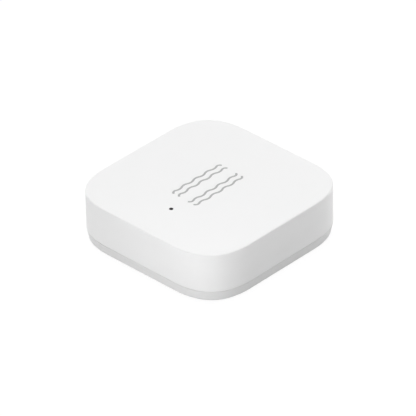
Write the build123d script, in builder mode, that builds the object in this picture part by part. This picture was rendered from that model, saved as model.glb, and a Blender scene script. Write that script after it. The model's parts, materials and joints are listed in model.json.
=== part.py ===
from build123d import *
from math import atan, cos, degrees, radians, sin, sqrt
import os

# Vibration sensor tag: a small rounded square that is stuck to a door, window or drawer.
# Lengths are in millimetres. The origin is the centre of the adhesive face, +Z runs up
# through the top face, and the pinhole lies on the -Y side.

os.makedirs("parts", exist_ok=True)

# Coin cell of the standard 20 mm by 3.2 mm size
cell_radius = 10.0
cell_height = 3.2
can_wall = 0.25
can_height = 2.75
can_lip_width = 0.95
can_corner_radius = 0.4
can_crimp_radius = 0.2
cap_wall = 0.25
cap_edge_radius = 0.2
seal_wall = 0.33
seal_lip_thickness = 0.2
seal_show = 0.25
cell_fit = 0.02
separator_gap = 0.33
separator_thickness = 0.12
cathode_inset = 0.2
lithium_inset = 0.4
lithium_thickness = 0.6

# Adhesive pad
pad_thickness = 0.5
pad_proud = 0.3
pad_margin = 1.6
pad_clearance = 0.1

# Base cover
base_floor = 0.8
band_height = 1.45
base_taper = 0.3
base_edge_radius = 0.12
rim_wall = 0.6
rim_height = 0.65
rest_height = 0.1
rest_radius = 7.0
rest_width = 0.6
notch_width = 6.0
notch_height = 0.7
notch_depth = 0.7

# Snap tabs on the base and ridges in the case
tab_width = 5.0
tab_height = 2.2
tab_lead = 0.2
bead_proud = 0.14
bead_height = 0.5
bead_drop = 0.3
ridge_proud = 0.14
ridge_height = 0.5
ridge_width = 6.0
snap_clearance = 0.02
snap_play = 0.1

# Case
case_wall = 1.15
roof_thickness = 0.9
seam_gap = 0.03
top_edge_radius = 0.3
lower_edge_radius = 0.12
case_lead = 0.15
corner_side_radius = 9.5
corner_mid_radius = 5.25
corner_side_turn = 19

# Pinhole in the roof, over the reset switch
pinhole_offset = 7.0
pinhole_radius = 0.31

# Wavy marks inlaid in the roof
mark_width = 0.28
mark_swing = 0.13
mark_spacing = 1.0
mark_pair_spacing = 3.22
mark_shift_x = -0.37
mark_shift_y = 0.13
mark_depth = 0.06
bend_count = 7
bend_length = 1.07
hook_radius = 0.5
hook_turn = 60

# Battery cradle
cradle_clearance = 0.15
cradle_wall = 0.65
cradle_step = 0.4
rim_gap = 0.15
ear_thickness = 0.8
ear_radius = 1.2
contact_opening = 5.4
grip_opening = 8.0

# Circuit board and the posts that hold it
board_thickness = 0.6
board_gap = 0.25
post_radius = 0.95
pin_radius = 0.5
pin_clearance = 0.05
head_radius = 0.8
head_height = 0.35
head_edge_radius = 0.25
head_gap = 0.3

# Battery contacts
contact_room = 0.3
touch_gap = 0.02
clip_thickness = 0.2
clip_width = 4.0
clip_drop = 2.4
clip_flare = 0.3
clip_foot = 0.75
leaf_thickness = 0.12
leaf_hub_radius = 2.4
leaf_reach = 6.5
leaf_width = 1.6
leaf_count = 3

# Reset switch
switch_length = 3.0
switch_width = 2.2
switch_height = 0.6
switch_floor = 0.15
switch_well_radius = 0.85
switch_fit = 0.01
dome_radius = 0.8
dome_rise = 0.22
dome_thickness = 0.06
flange_radius = 0.7
stem_radius = 0.4
stem_clearance = 0.05
stem_proud = 0.15
stem_gap = 0.25
frame_thickness = 0.1
frame_leg_width = 1.2
frame_leg_drop = 0.5
terminal_width = 0.5
terminal_length = 0.4
terminal_thickness = 0.12
terminal_spread = 1.8

# Status light
led_length = 1.6
led_width = 0.8
led_base_height = 0.3
led_lens_length = 1.1
led_lens_height = 0.25
led_lens_edge_radius = 0.12
led_gap = 0.6

# Parts on the board: length, width, height
radio_size = (6.0, 6.0, 0.85)
accelerometer_size = (2.5, 3.0, 0.86)
memory_size = (3.0, 2.0, 0.6)
main_crystal_size = (2.5, 2.0, 0.6)
clock_crystal_size = (3.2, 1.5, 0.8)
reservoir_size = (3.2, 1.6, 0.85)
capacitor_size = (1.0, 0.5, 0.5)
resistor_size = (1.0, 0.5, 0.35)
inductor_size = (1.6, 0.8, 0.6)
end_cap_share = 0.25
end_cap_proud = 0.02
part_edge = 0.08
dot_radius = 0.2
dot_depth = 0.05
dot_inset = 0.55
passive_gap = 0.65
passive_space = 0.75
passive_count = 5
column_gap = 0.3
inductor_gap = 0.52
antenna_gap = 0.87
antenna_margin = 1.04

# Places on the board, as shares of its half width
radio_x_share = 0.08
accelerometer_place_shares = (-0.45, -0.45)
memory_y_share = -0.30
main_crystal_place_shares = (-0.42, 0.26)
clock_crystal_place_shares = (-0.46, -0.10)
reservoir_y_share = 0.11

# Aerial trace printed on the board
trace_width = 0.45
trace_thickness = 0.05
trace_pitch = 1.3
trace_span = 2.8
trace_bars = 8
feed_length = 0.8

# How far a cut runs past what it cuts
overrun = 0.5

# Levels, from the adhesive face up
base_bottom = pad_proud
pocket_top = pad_thickness
floor_top = base_bottom + base_floor
band_top = base_bottom + band_height
rim_top = band_top + rim_height
tab_top = band_top + tab_height
cell_bottom = floor_top + rest_height
cell_top = cell_bottom + cell_height
board_bottom = cell_top + contact_room
board_top = board_bottom + board_thickness
stem_top = board_top + switch_height + frame_thickness + stem_proud
roof_bottom = stem_top + stem_gap
case_top = roof_bottom + roof_thickness
case_bottom = band_top + seam_gap
ear_bottom = board_bottom - ear_thickness
cradle_bottom = cell_bottom + cradle_step

# Widths, from the coin cell out to the case's side
cradle_inner_radius = cell_radius + cradle_clearance
cradle_outer_radius = cradle_inner_radius + cradle_wall
rim_inner = cradle_outer_radius + rim_gap
rim_outer = rim_inner + rim_wall
case_inner = rim_outer + bead_proud + snap_clearance + ridge_proud
half_width = case_inner + case_wall
board_half = case_inner - board_gap
post_reach = cradle_outer_radius + head_gap + head_radius
post_pitch = 2 * post_reach / sqrt(2)


# Places on the board: the aerial along its far edge, then rows one behind the other down to
# the radio chip, a row of resistors beside the chip, and a column of larger parts past those
antenna_y = board_half - antenna_margin - trace_span / 2
inductor_y = antenna_y - trace_span / 2 - antenna_gap - inductor_size[1] / 2
capacitor_y = inductor_y - (inductor_size[1] + capacitor_size[0]) / 2 - inductor_gap
radio_x = radio_x_share * board_half
radio_y = capacitor_y - (capacitor_size[0] + radio_size[1]) / 2 - passive_gap
resistor_x = radio_x + (radio_size[0] + resistor_size[0]) / 2 + passive_gap
column_x = resistor_x + resistor_size[0] / 2 + column_gap
accelerometer_x, accelerometer_y = [share * board_half for share in accelerometer_place_shares]
main_crystal_x, main_crystal_y = [share * board_half for share in main_crystal_place_shares]
clock_crystal_x, clock_crystal_y = [share * board_half for share in clock_crystal_place_shares]
memory_place = (column_x + memory_size[0] / 2, memory_y_share * board_half)
reservoir_place = (column_x + reservoir_size[0] / 2, reservoir_y_share * board_half)


# Upright planes evenly round the Z axis, each with X outwards and Y up
def upright_planes(count):
    planes = []
    for step in range(count):
        outwards = Vector(1, 0, 0).rotate(Axis.Z, 360 / count * step)
        planes.append(Plane((0, 0, 0), x_dir=outwards, z_dir=outwards.cross(Vector(0, 0, 1))))
    return planes


# Outline shared by the case, the base, the board and the pad, drawn at a given half width:
# straight sides, and corners that ease in and out of the bend on a larger radius.
def rounded_square(half):
    inset = half_width - half
    turn = radians(corner_side_turn)
    radius_step = corner_side_radius - corner_mid_radius
    corner_length = corner_side_radius - radius_step * (cos(turn) - sin(turn))
    straight = half_width - corner_length
    side_centre = half_width - corner_side_radius
    mid_centre = side_centre + radius_step * cos(turn)
    side_radius = corner_side_radius - inset
    mid_radius = corner_mid_radius - inset
    mid_turn = 90 - 2 * corner_side_turn
    with BuildLine() as border:
        for quarter in range(4):
            start = 90 * quarter
            first = Vector(side_centre, straight).rotate(Axis.Z, start)
            middle = Vector(mid_centre, mid_centre).rotate(Axis.Z, start)
            last = Vector(straight, side_centre).rotate(Axis.Z, start)
            CenterArc(first, side_radius, start, corner_side_turn)
            CenterArc(middle, mid_radius, start + corner_side_turn, mid_turn)
            CenterArc(last, side_radius, start + corner_side_turn + mid_turn, corner_side_turn)
            side_from = Vector(straight, half).rotate(Axis.Z, start)
            side_to = Vector(-straight, half).rotate(Axis.Z, start)
            Line(side_from, side_to)
    make_face(border.edges())


# Filled outline through a list of points
def outline(*points):
    with BuildLine() as border:
        Polyline(*points, close=True)
    make_face(border.edges())


# Plate that fills the rounded square from one level up to another
def rounded_plate(half, bottom, top, mode=Mode.ADD):
    with BuildSketch(Plane.XY.offset(bottom)) as plate:
        rounded_square(half)
    extrude(plate.sketch, amount=top - bottom, mode=mode)


# One wavy stroke: bends that are arcs of one radius, joined in tangent, and a tighter hook at
# each end that turns back to -X and ends round
def wavy_stroke():
    bend_turn = 2 * atan(2 * mark_swing / bend_length)
    bend_radius = bend_length / 2 / sin(bend_turn)
    bend_degrees = degrees(bend_turn)
    hook_angle = radians(hook_turn)
    middle_bend = (bend_count - 1) / 2
    hook_x = -hook_radius * cos(bend_turn)
    hook_y = bend_count * bend_length / 2 + hook_radius * sin(bend_turn)
    with BuildSketch() as stroke:
        with BuildLine():
            for bend in range(bend_count):
                side = 1 if bend % 2 else -1
                centre = (-side * bend_radius * cos(bend_turn), (bend - middle_bend) * bend_length)
                start = -bend_degrees if side > 0 else 180 - bend_degrees
                CenterArc(centre, bend_radius - mark_width / 2, start, 2 * bend_degrees)
                CenterArc(centre, bend_radius + mark_width / 2, start, 2 * bend_degrees)
            for end in (-1, 1):
                centre = (hook_x, end * hook_y)
                start = -bend_degrees if end > 0 else -hook_turn
                CenterArc(centre, hook_radius - mark_width / 2, start, bend_degrees + hook_turn)
                CenterArc(centre, hook_radius + mark_width / 2, start, bend_degrees + hook_turn)
                tip = Vector(hook_radius * cos(hook_angle), end * hook_radius * sin(hook_angle))
                tip_start = hook_turn if end > 0 else 180 - hook_turn
                CenterArc(Vector(centre) + tip, mark_width / 2, tip_start, 180)
        make_face()
    return stroke.sketch


# The four strokes on the roof, the left pair turned to mirror the right pair
def mark_strokes():
    stroke = wavy_stroke()
    for pair_side, turn in ((-1, 180), (1, 0)):
        for mark_side in (-1, 1):
            line_x = mark_shift_x + (pair_side * mark_pair_spacing + mark_side * mark_spacing) / 2
            with Locations((line_x, mark_shift_y)):
                add(stroke, rotation=turn)


# Base cover: tapered band and floor, low rim, four snap tabs and the cell's rest ring
with BuildPart() as base_cover:
    with BuildSketch(Plane.XY.offset(base_bottom)):
        rounded_square(half_width - base_taper)
    with BuildSketch(Plane.XY.offset(band_top)):
        rounded_square(half_width)
    loft(ruled=True)
    fillet(base_cover.edges().group_by(Axis.Z)[0], base_edge_radius)
    rounded_plate(rim_outer, floor_top, rim_top)
    rounded_plate(rim_inner, floor_top, rim_top, Mode.SUBTRACT)
    with BuildSketch(*upright_planes(4)):
        bead_top = tab_top - bead_drop
        bead_bottom = bead_top - bead_height
        outline(
            (rim_inner, floor_top),
            (rim_outer, floor_top),
            (rim_outer, bead_bottom),
            (rim_outer + bead_proud, bead_bottom + bead_proud),
            (rim_outer + bead_proud, bead_top - bead_proud),
            (rim_outer, bead_top),
            (rim_outer, tab_top - tab_lead),
            (rim_outer - tab_lead, tab_top),
            (rim_inner, tab_top),
        )
    extrude(amount=tab_width / 2, both=True)
    with BuildSketch(Plane.XY.offset(floor_top)):
        Circle(rest_radius + rest_width / 2)
        Circle(rest_radius - rest_width / 2, mode=Mode.SUBTRACT)
    extrude(amount=rest_height)
    rounded_plate(
        half_width - base_taper - pad_margin + pad_clearance, 0, pocket_top, Mode.SUBTRACT
    )
    with BuildSketch(Plane.XY.offset(band_top - notch_height)):
        with Locations((0, half_width)):
            Rectangle(notch_width, 2 * notch_depth)
    extrude(amount=notch_height + overrun, mode=Mode.SUBTRACT)
base_cover.part.label = "base_cover"
export_step(base_cover.part, "parts/base_cover.step")

# Adhesive pad in the pocket under the base
with BuildPart() as adhesive_pad:
    rounded_plate(half_width - base_taper - pad_margin, 0, pad_thickness)
adhesive_pad.part.label = "adhesive_pad"
export_step(adhesive_pad.part, "parts/adhesive_pad.step")

# Top shell: case wall and roof, snap ridges, board posts with staked heads, pinhole and grooves
with BuildPart() as top_shell:
    rounded_plate(half_width, case_bottom, case_top)
    fillet(top_shell.edges().group_by(Axis.Z)[-1], top_edge_radius)
    fillet(top_shell.edges().group_by(Axis.Z)[0], lower_edge_radius)
    rounded_plate(case_inner, case_bottom, roof_bottom, Mode.SUBTRACT)
    inner_rim = top_shell.faces().sort_by(Axis.Z)[0].inner_wires()[0]
    chamfer(inner_rim.edges(), case_lead)
    with BuildSketch(*upright_planes(4)):
        ridge_top = bead_bottom - snap_play
        ridge_bottom = ridge_top - ridge_height
        outline(
            (case_inner, ridge_bottom),
            (case_inner - ridge_proud, ridge_bottom + ridge_proud),
            (case_inner - ridge_proud, ridge_top - ridge_proud),
            (case_inner, ridge_top),
        )
    extrude(amount=ridge_width / 2, both=True)
    with BuildSketch(Plane.XY.offset(board_top)):
        with GridLocations(post_pitch, post_pitch, 2, 2):
            Circle(post_radius)
    extrude(amount=roof_bottom - board_top)
    with BuildSketch(Plane.XY.offset(ear_bottom)):
        with GridLocations(post_pitch, post_pitch, 2, 2):
            Circle(pin_radius)
    extrude(amount=board_top - ear_bottom)
    with BuildSketch(Plane.XY.offset(ear_bottom - head_height)):
        with GridLocations(post_pitch, post_pitch, 2, 2):
            Circle(head_radius)
    extrude(amount=head_height)
    head_faces = top_shell.faces(Select.LAST).group_by(Axis.Z)[0]
    fillet(head_faces.edges(), head_edge_radius)
    with BuildSketch(Plane.XY.offset(roof_bottom)):
        with Locations((0, -pinhole_offset)):
            Circle(pinhole_radius)
    extrude(amount=roof_thickness, mode=Mode.SUBTRACT)
    with BuildSketch(Plane.XY.offset(case_top - mark_depth)):
        mark_strokes()
    extrude(amount=mark_depth, mode=Mode.SUBTRACT)
top_shell.part.label = "top_shell"
export_step(top_shell.part, "parts/top_shell.step")

# Wavy marks, filling their grooves
with BuildPart() as wave_marks:
    with BuildSketch(Plane.XY.offset(case_top - mark_depth)):
        mark_strokes()
    extrude(amount=mark_depth)
wave_marks.part.label = "wave_marks"
export_step(wave_marks.part, "parts/wave_marks.step")

# Circuit board, with a hole for each post's pin
with BuildPart() as circuit_board:
    rounded_plate(board_half, board_bottom, board_top)
    with BuildSketch(Plane.XY.offset(board_bottom)):
        with GridLocations(post_pitch, post_pitch, 2, 2):
            Circle(pin_radius + pin_clearance)
    extrude(amount=board_thickness, mode=Mode.SUBTRACT)
circuit_board.part.label = "circuit_board"
export_step(circuit_board.part, "parts/circuit_board.step")

# Aerial printed on the board: upright bars joined in turn at the top and at the bottom
with BuildPart() as board_antenna:
    bar_reach = (trace_bars - 1) * trace_pitch / 2
    link_y = (trace_span - trace_width) / 2
    with BuildSketch(Plane.XY.offset(board_top)):
        with Locations((0, antenna_y)):
            with GridLocations(trace_pitch, 0, trace_bars, 1):
                Rectangle(trace_width, trace_span)
        for link in range(trace_bars - 1):
            link_side = 1 if link % 2 else -1
            with Locations(((link + 1 / 2) * trace_pitch - bar_reach, antenna_y + link_side * link_y)):
                Rectangle(trace_pitch, trace_width)
        with Locations((bar_reach, antenna_y - (trace_span + feed_length) / 2)):
            Rectangle(trace_width, feed_length)
    extrude(amount=trace_thickness)
board_antenna.part.label = "board_antenna"
export_step(board_antenna.part, "parts/board_antenna.step")

# Battery cradle: ring round the cell, open at the clip and at the grip, with four staked ears
with BuildPart() as battery_cradle:
    with BuildSketch(Plane.XY.offset(cradle_bottom)):
        Circle(cradle_outer_radius)
    extrude(amount=board_bottom - cradle_bottom)
    with BuildSketch(Plane.XY.offset(ear_bottom)):
        ear_from = cradle_outer_radius - cradle_wall / 2
        with PolarLocations((ear_from + post_reach) / 2, 4, 45):
            SlotCenterToCenter(post_reach - ear_from, 2 * ear_radius)
    extrude(amount=ear_thickness)
    with BuildSketch(Plane.XY.offset(cradle_bottom)):
        Circle(cradle_inner_radius)
        with Locations((cradle_outer_radius, 0)):
            Rectangle(2 * (cradle_wall + cradle_clearance), contact_opening)
        with GridLocations(post_pitch, post_pitch, 2, 2):
            Circle(pin_radius + pin_clearance)
    extrude(amount=board_bottom - cradle_bottom, mode=Mode.SUBTRACT)
    with BuildSketch(Plane.XY.offset(cradle_bottom)):
        with Locations((-cradle_outer_radius, 0)):
            Rectangle(2 * (cradle_wall + cradle_clearance), grip_opening)
    extrude(amount=ear_bottom - cradle_bottom, mode=Mode.SUBTRACT)
battery_cradle.part.label = "battery_cradle"
export_step(battery_cradle.part, "parts/battery_cradle.step")

# Positive contact: clip from the board down beside the cell's can
with BuildPart() as positive_contact:
    with BuildSketch(Plane.XZ):
        clip_inner = cell_radius + touch_gap
        clip_outer = clip_inner + clip_thickness
        clip_bottom = board_bottom - clip_drop
        outline(
            (clip_inner, board_bottom),
            (clip_outer + clip_foot, board_bottom),
            (clip_outer + clip_foot, board_bottom - clip_thickness),
            (clip_outer, board_bottom - clip_thickness),
            (clip_outer, clip_bottom + clip_flare),
            (clip_outer + clip_flare, clip_bottom),
            (clip_inner + clip_flare, clip_bottom),
            (clip_inner, clip_bottom + clip_flare),
        )
    extrude(amount=clip_width / 2, both=True)
positive_contact.part.label = "positive_contact"
export_step(positive_contact.part, "parts/positive_contact.step")

# Negative contact: hub on the board with leaves that reach down to the cell's cap
with BuildPart() as negative_contact:
    with BuildSketch(Plane.XY.offset(board_bottom - leaf_thickness)):
        Circle(leaf_hub_radius)
    extrude(amount=leaf_thickness)
    with BuildSketch(*upright_planes(leaf_count)):
        outline(
            (0, board_bottom),
            (leaf_reach, cell_top + touch_gap + leaf_thickness),
            (leaf_reach, cell_top + touch_gap),
            (0, board_bottom - leaf_thickness),
        )
    extrude(amount=leaf_width / 2, both=True)
negative_contact.part.label = "negative_contact"
export_step(negative_contact.part, "parts/negative_contact.step")

# Coin cell, with its can down and its cap up against the board's leaves
cell_plane = Plane.XZ.shift_origin((0, 0, cell_bottom))
can_inner = cell_radius - can_wall
lip_inner = cell_radius - can_lip_width
seal_outer = can_inner - cell_fit
seal_channel = seal_outer - seal_wall
seal_low = can_wall + cell_fit
seal_high = can_height - can_wall - cell_fit
cap_rim = seal_channel - cell_fit
cap_shoulder = lip_inner - seal_show - cell_fit
cap_flange_top = seal_high - seal_lip_thickness - cell_fit
cap_flange_bottom = cap_flange_top - cap_wall
cap_foot = seal_low + seal_lip_thickness + cell_fit
cap_inner_top = cell_height - cap_wall
separator_radius = cap_shoulder - cap_wall - separator_gap
cathode_radius = separator_radius - cathode_inset
lithium_radius = separator_radius - lithium_inset
cathode_height = cap_inner_top - lithium_thickness - separator_thickness - can_wall

with BuildPart() as cell_can:
    with BuildSketch(cell_plane):
        outline(
            (0, 0),
            (cell_radius, 0),
            (cell_radius, can_height),
            (lip_inner, can_height),
            (lip_inner, can_height - can_wall),
            (can_inner, can_height - can_wall),
            (can_inner, can_wall),
            (0, can_wall),
        )
    revolve(axis=Axis.Z)
    fillet(cell_can.edges().filter_by(GeomType.CIRCLE).group_by(Axis.Z)[0], can_corner_radius)
    crimp = cell_can.edges().filter_by(GeomType.CIRCLE).group_by(Axis.Z)[-1].sort_by(SortBy.RADIUS)[-1]
    fillet(crimp, can_crimp_radius)
cell_can.part.label = "cell_can"
export_step(cell_can.part, "parts/cell_can.step")

with BuildPart() as cell_seal:
    with BuildSketch(cell_plane):
        outline(
            (seal_outer, seal_low),
            (seal_outer, seal_high),
            (cap_shoulder + cell_fit, seal_high),
            (cap_shoulder + cell_fit, seal_high - seal_lip_thickness),
            (seal_channel, seal_high - seal_lip_thickness),
            (seal_channel, seal_low + seal_lip_thickness),
            (cap_rim - cap_wall, seal_low + seal_lip_thickness),
            (cap_rim - cap_wall, seal_low),
        )
    revolve(axis=Axis.Z)
cell_seal.part.label = "cell_seal"
export_step(cell_seal.part, "parts/cell_seal.step")

with BuildPart() as cell_cap:
    with BuildSketch(cell_plane):
        outline(
            (0, cell_height),
            (cap_shoulder, cell_height),
            (cap_shoulder, cap_flange_top),
            (cap_rim, cap_flange_top),
            (cap_rim, cap_foot),
            (cap_rim - cap_wall, cap_foot),
            (cap_rim - cap_wall, cap_flange_bottom),
            (cap_shoulder - cap_wall, cap_flange_bottom),
            (cap_shoulder - cap_wall, cap_inner_top),
            (0, cap_inner_top),
        )
    revolve(axis=Axis.Z)
    fillet(cell_cap.edges().filter_by(GeomType.CIRCLE).group_by(Axis.Z)[-1], cap_edge_radius)
cell_cap.part.label = "cell_cap"
export_step(cell_cap.part, "parts/cell_cap.step")

with BuildPart() as cell_cathode:
    with BuildSketch(Plane.XY.offset(cell_bottom + can_wall)):
        Circle(cathode_radius)
    extrude(amount=cathode_height)
cell_cathode.part.label = "cell_cathode"
export_step(cell_cathode.part, "parts/cell_cathode.step")

with BuildPart() as cell_separator:
    with BuildSketch(Plane.XY.offset(cell_bottom + can_wall + cathode_height)):
        Circle(separator_radius)
    extrude(amount=separator_thickness)
cell_separator.part.label = "cell_separator"
export_step(cell_separator.part, "parts/cell_separator.step")

with BuildPart() as cell_lithium:
    with BuildSketch(Plane.XY.offset(cell_bottom + cap_inner_top - lithium_thickness)):
        Circle(lithium_radius)
    extrude(amount=lithium_thickness)
cell_lithium.part.label = "cell_lithium"
export_step(cell_lithium.part, "parts/cell_lithium.step")

# Reset switch under the pinhole
well_floor = board_top + switch_floor
frame_bottom = board_top + switch_height
flange_bottom = well_floor + dome_rise + switch_fit
flange_top = frame_bottom - switch_fit
switch_plane = Plane.XZ.offset(pinhole_offset)

with BuildPart() as switch_base:
    with BuildSketch(Plane.XY.offset(board_top)):
        with Locations((0, -pinhole_offset)):
            Rectangle(switch_length, switch_width)
    extrude(amount=switch_height)
    with BuildSketch(Plane.XY.offset(well_floor)):
        with Locations((0, -pinhole_offset)):
            Circle(switch_well_radius)
    extrude(amount=switch_height, mode=Mode.SUBTRACT)
switch_base.part.label = "switch_base"
export_step(switch_base.part, "parts/switch_base.step")

with BuildPart() as switch_terminals:
    terminal_pitch = switch_width + terminal_length
    with BuildSketch(Plane.XY.offset(board_top)):
        with Locations((0, -pinhole_offset)):
            with GridLocations(terminal_spread, terminal_pitch, 2, 2):
                Rectangle(terminal_width, terminal_length)
    extrude(amount=terminal_thickness)
switch_terminals.part.label = "switch_terminals"
export_step(switch_terminals.part, "parts/switch_terminals.step")

with BuildPart() as switch_dome:
    with BuildSketch(switch_plane):
        with BuildLine():
            outer_rise = ThreePointArc(
                (-dome_radius, well_floor), (0, well_floor + dome_rise), (dome_radius, well_floor)
            )
            inner_radius = dome_radius - dome_thickness
            inner_rise = ThreePointArc(
                (-inner_radius, well_floor),
                (0, well_floor + dome_rise - dome_thickness),
                (inner_radius, well_floor),
            )
            Line(outer_rise @ 0, inner_rise @ 0)
            Line(outer_rise @ 1, inner_rise @ 1)
        make_face()
        with Locations((-dome_radius, well_floor)):
            Rectangle(
                dome_radius, dome_rise, align=(Align.MIN, Align.MIN), mode=Mode.SUBTRACT
            )
    revolve(axis=Axis((0, -pinhole_offset, 0), (0, 0, 1)))
switch_dome.part.label = "switch_dome"
export_step(switch_dome.part, "parts/switch_dome.step")

with BuildPart() as switch_plunger:
    with BuildSketch(Plane.XY.offset(flange_bottom)):
        with Locations((0, -pinhole_offset)):
            Circle(flange_radius)
    extrude(amount=flange_top - flange_bottom)
    with BuildSketch(Plane.XY.offset(flange_top)):
        with Locations((0, -pinhole_offset)):
            Circle(stem_radius)
    extrude(amount=stem_top - flange_top)
switch_plunger.part.label = "switch_plunger"
export_step(switch_plunger.part, "parts/switch_plunger.step")

with BuildPart() as switch_frame:
    frame_length = switch_length + 2 * frame_thickness
    leg_x = (switch_length + frame_thickness) / 2
    with BuildSketch(Plane.XY.offset(frame_bottom)):
        with Locations((0, -pinhole_offset)):
            Rectangle(frame_length, switch_width)
            Circle(stem_radius + stem_clearance, mode=Mode.SUBTRACT)
    extrude(amount=frame_thickness)
    with BuildSketch(Plane.XY.offset(frame_bottom - frame_leg_drop)):
        with Locations((-leg_x, -pinhole_offset), (leg_x, -pinhole_offset)):
            Rectangle(frame_thickness, frame_leg_width)
    extrude(amount=frame_leg_drop)
switch_frame.part.label = "switch_frame"
export_step(switch_frame.part, "parts/switch_frame.step")

# Status light beside the reset switch
led_x = switch_length / 2 + frame_thickness + led_gap + led_length / 2

with BuildPart() as led_base:
    with BuildSketch(Plane.XY.offset(board_top)):
        with Locations((led_x, -pinhole_offset)):
            Rectangle(led_length, led_width)
    extrude(amount=led_base_height)
led_base.part.label = "led_base"
export_step(led_base.part, "parts/led_base.step")

with BuildPart() as led_lens:
    with BuildSketch(Plane.XY.offset(board_top + led_base_height)):
        with Locations((led_x, -pinhole_offset)):
            Rectangle(led_lens_length, led_width)
    extrude(amount=led_lens_height)
    fillet(led_lens.edges().group_by(Axis.Z)[-1], led_lens_edge_radius)
led_lens.part.label = "led_lens"
export_step(led_lens.part, "parts/led_lens.step")


# Moulded package on the board, with bevelled top edges and a dot at its first corner
def package(name, size, place):
    length, width, height = size
    with BuildPart() as body:
        with BuildSketch(Plane.XY.offset(board_top)):
            with Locations(place):
                Rectangle(length, width)
        extrude(amount=height)
        chamfer(body.edges().group_by(Axis.Z)[-1], part_edge)
        dot_x = place[0] - length / 2 + dot_inset
        dot_y = place[1] + width / 2 - dot_inset
        with BuildSketch(Plane.XY.offset(board_top + height - dot_depth)):
            with Locations((dot_x, dot_y)):
                Circle(dot_radius)
        extrude(amount=dot_depth, mode=Mode.SUBTRACT)
    body.part.label = name
    export_step(body.part, f"parts/{name}.step")


# Crystal in a drawn metal can with rounded edges
def crystal(name, size, place):
    length, width, height = size
    with BuildPart() as body:
        with BuildSketch(Plane.XY.offset(board_top)):
            with Locations(place):
                Rectangle(length, width)
        extrude(amount=height)
        fillet(body.edges().filter_by(Axis.Z), part_edge)
        fillet(body.edges().group_by(Axis.Z)[-1], part_edge)
    body.part.label = name
    export_step(body.part, f"parts/{name}.step")


# Group of like two-ended parts, each a slim body between two slightly larger ends
def two_ended_parts(name, size, places, turn=0):
    length, width, height = size
    end_length = end_cap_share * length
    with BuildPart() as group:
        with BuildSketch(Plane.XY.offset(board_top)):
            with Locations(*[Location(place, turn) for place in places]):
                Rectangle(length, width - 2 * end_cap_proud)
        extrude(amount=height - end_cap_proud)
        with BuildSketch(Plane.XY.offset(board_top)):
            with Locations(*[Location(place, turn) for place in places]):
                with GridLocations(length - end_length, 0, 2, 1):
                    Rectangle(end_length, width)
        extrude(amount=height)
    group.part.label = name
    export_step(group.part, f"parts/{name}.step")


# Places in a row with an even step, centred on the middle one
def row_places(middle, step, count):
    shifts = [index - (count - 1) / 2 for index in range(count)]
    return [(middle[0] + shift * step[0], middle[1] + shift * step[1]) for shift in shifts]


# Chips and crystals
package("radio_chip", radio_size, (radio_x, radio_y))
package("accelerometer_chip", accelerometer_size, (accelerometer_x, accelerometer_y))
package("memory_chip", memory_size, memory_place)
crystal("main_crystal", main_crystal_size, (main_crystal_x, main_crystal_y))
crystal("clock_crystal", clock_crystal_size, (clock_crystal_x, clock_crystal_y))

# Small parts round the radio chip, in rows
capacitor_step = (capacitor_size[1] + passive_space, 0)
resistor_step = (0, resistor_size[1] + passive_space)
reservoir_step = (0, 2 * reservoir_size[1])
inductor_step = (2 * inductor_size[0], 0)
capacitor_places = row_places((radio_x, capacitor_y), capacitor_step, passive_count)
resistor_places = row_places((resistor_x, radio_y), resistor_step, passive_count)
reservoir_places = row_places(reservoir_place, reservoir_step, 2)
inductor_places = row_places((radio_x, inductor_y), inductor_step, 2)
two_ended_parts("capacitors", capacitor_size, capacitor_places, 90)
two_ended_parts("resistors", resistor_size, resistor_places)
two_ended_parts("reservoir_capacitors", reservoir_size, reservoir_places)
two_ended_parts("inductors", inductor_size, inductor_places)
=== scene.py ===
"""Vibration sensor tag, as it looks: a white case over a grey base, four wavy marks and a pinhole.

The pieces are made round the engineering model's frame, in metres. The adhesive face lies on the
floor at Z 0, and the pinhole is on the -Y side.
"""

import json
from math import asin, atan, ceil, cos, pi, radians, sin, sqrt, tan

import bmesh
import bpy
from bpy.props import FloatProperty, FloatVectorProperty, IntProperty, PointerProperty
from mathutils import Matrix, Vector


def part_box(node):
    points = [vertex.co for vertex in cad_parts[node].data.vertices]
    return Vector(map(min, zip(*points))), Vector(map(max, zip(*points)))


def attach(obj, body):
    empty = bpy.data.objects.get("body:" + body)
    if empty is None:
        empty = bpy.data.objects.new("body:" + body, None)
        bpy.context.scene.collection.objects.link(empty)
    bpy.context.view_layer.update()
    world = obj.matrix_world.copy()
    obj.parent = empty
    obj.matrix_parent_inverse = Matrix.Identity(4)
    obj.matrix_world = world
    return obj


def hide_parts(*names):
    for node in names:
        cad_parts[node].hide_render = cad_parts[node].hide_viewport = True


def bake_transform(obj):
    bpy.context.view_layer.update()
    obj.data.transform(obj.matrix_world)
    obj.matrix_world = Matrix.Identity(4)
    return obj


bl_info = {
    "name": "Vibration Sensor Tag",
    "version": (1, 0, 0),
    "blender": (4, 5, 0),
    "location": "3D View > Sidebar > Sensor Tag",
    "description": "Builds a stick-on vibration sensor tag with its coin cell and board",
    "category": "Add Mesh",
}

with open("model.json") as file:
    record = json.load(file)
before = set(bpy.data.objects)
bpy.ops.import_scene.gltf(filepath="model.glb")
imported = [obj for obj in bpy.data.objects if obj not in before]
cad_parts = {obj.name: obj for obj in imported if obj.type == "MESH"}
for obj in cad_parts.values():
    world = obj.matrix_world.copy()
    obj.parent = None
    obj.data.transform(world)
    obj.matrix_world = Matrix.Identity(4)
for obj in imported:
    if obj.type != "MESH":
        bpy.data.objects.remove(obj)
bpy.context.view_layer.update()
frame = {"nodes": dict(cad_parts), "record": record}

MM = 0.001

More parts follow.
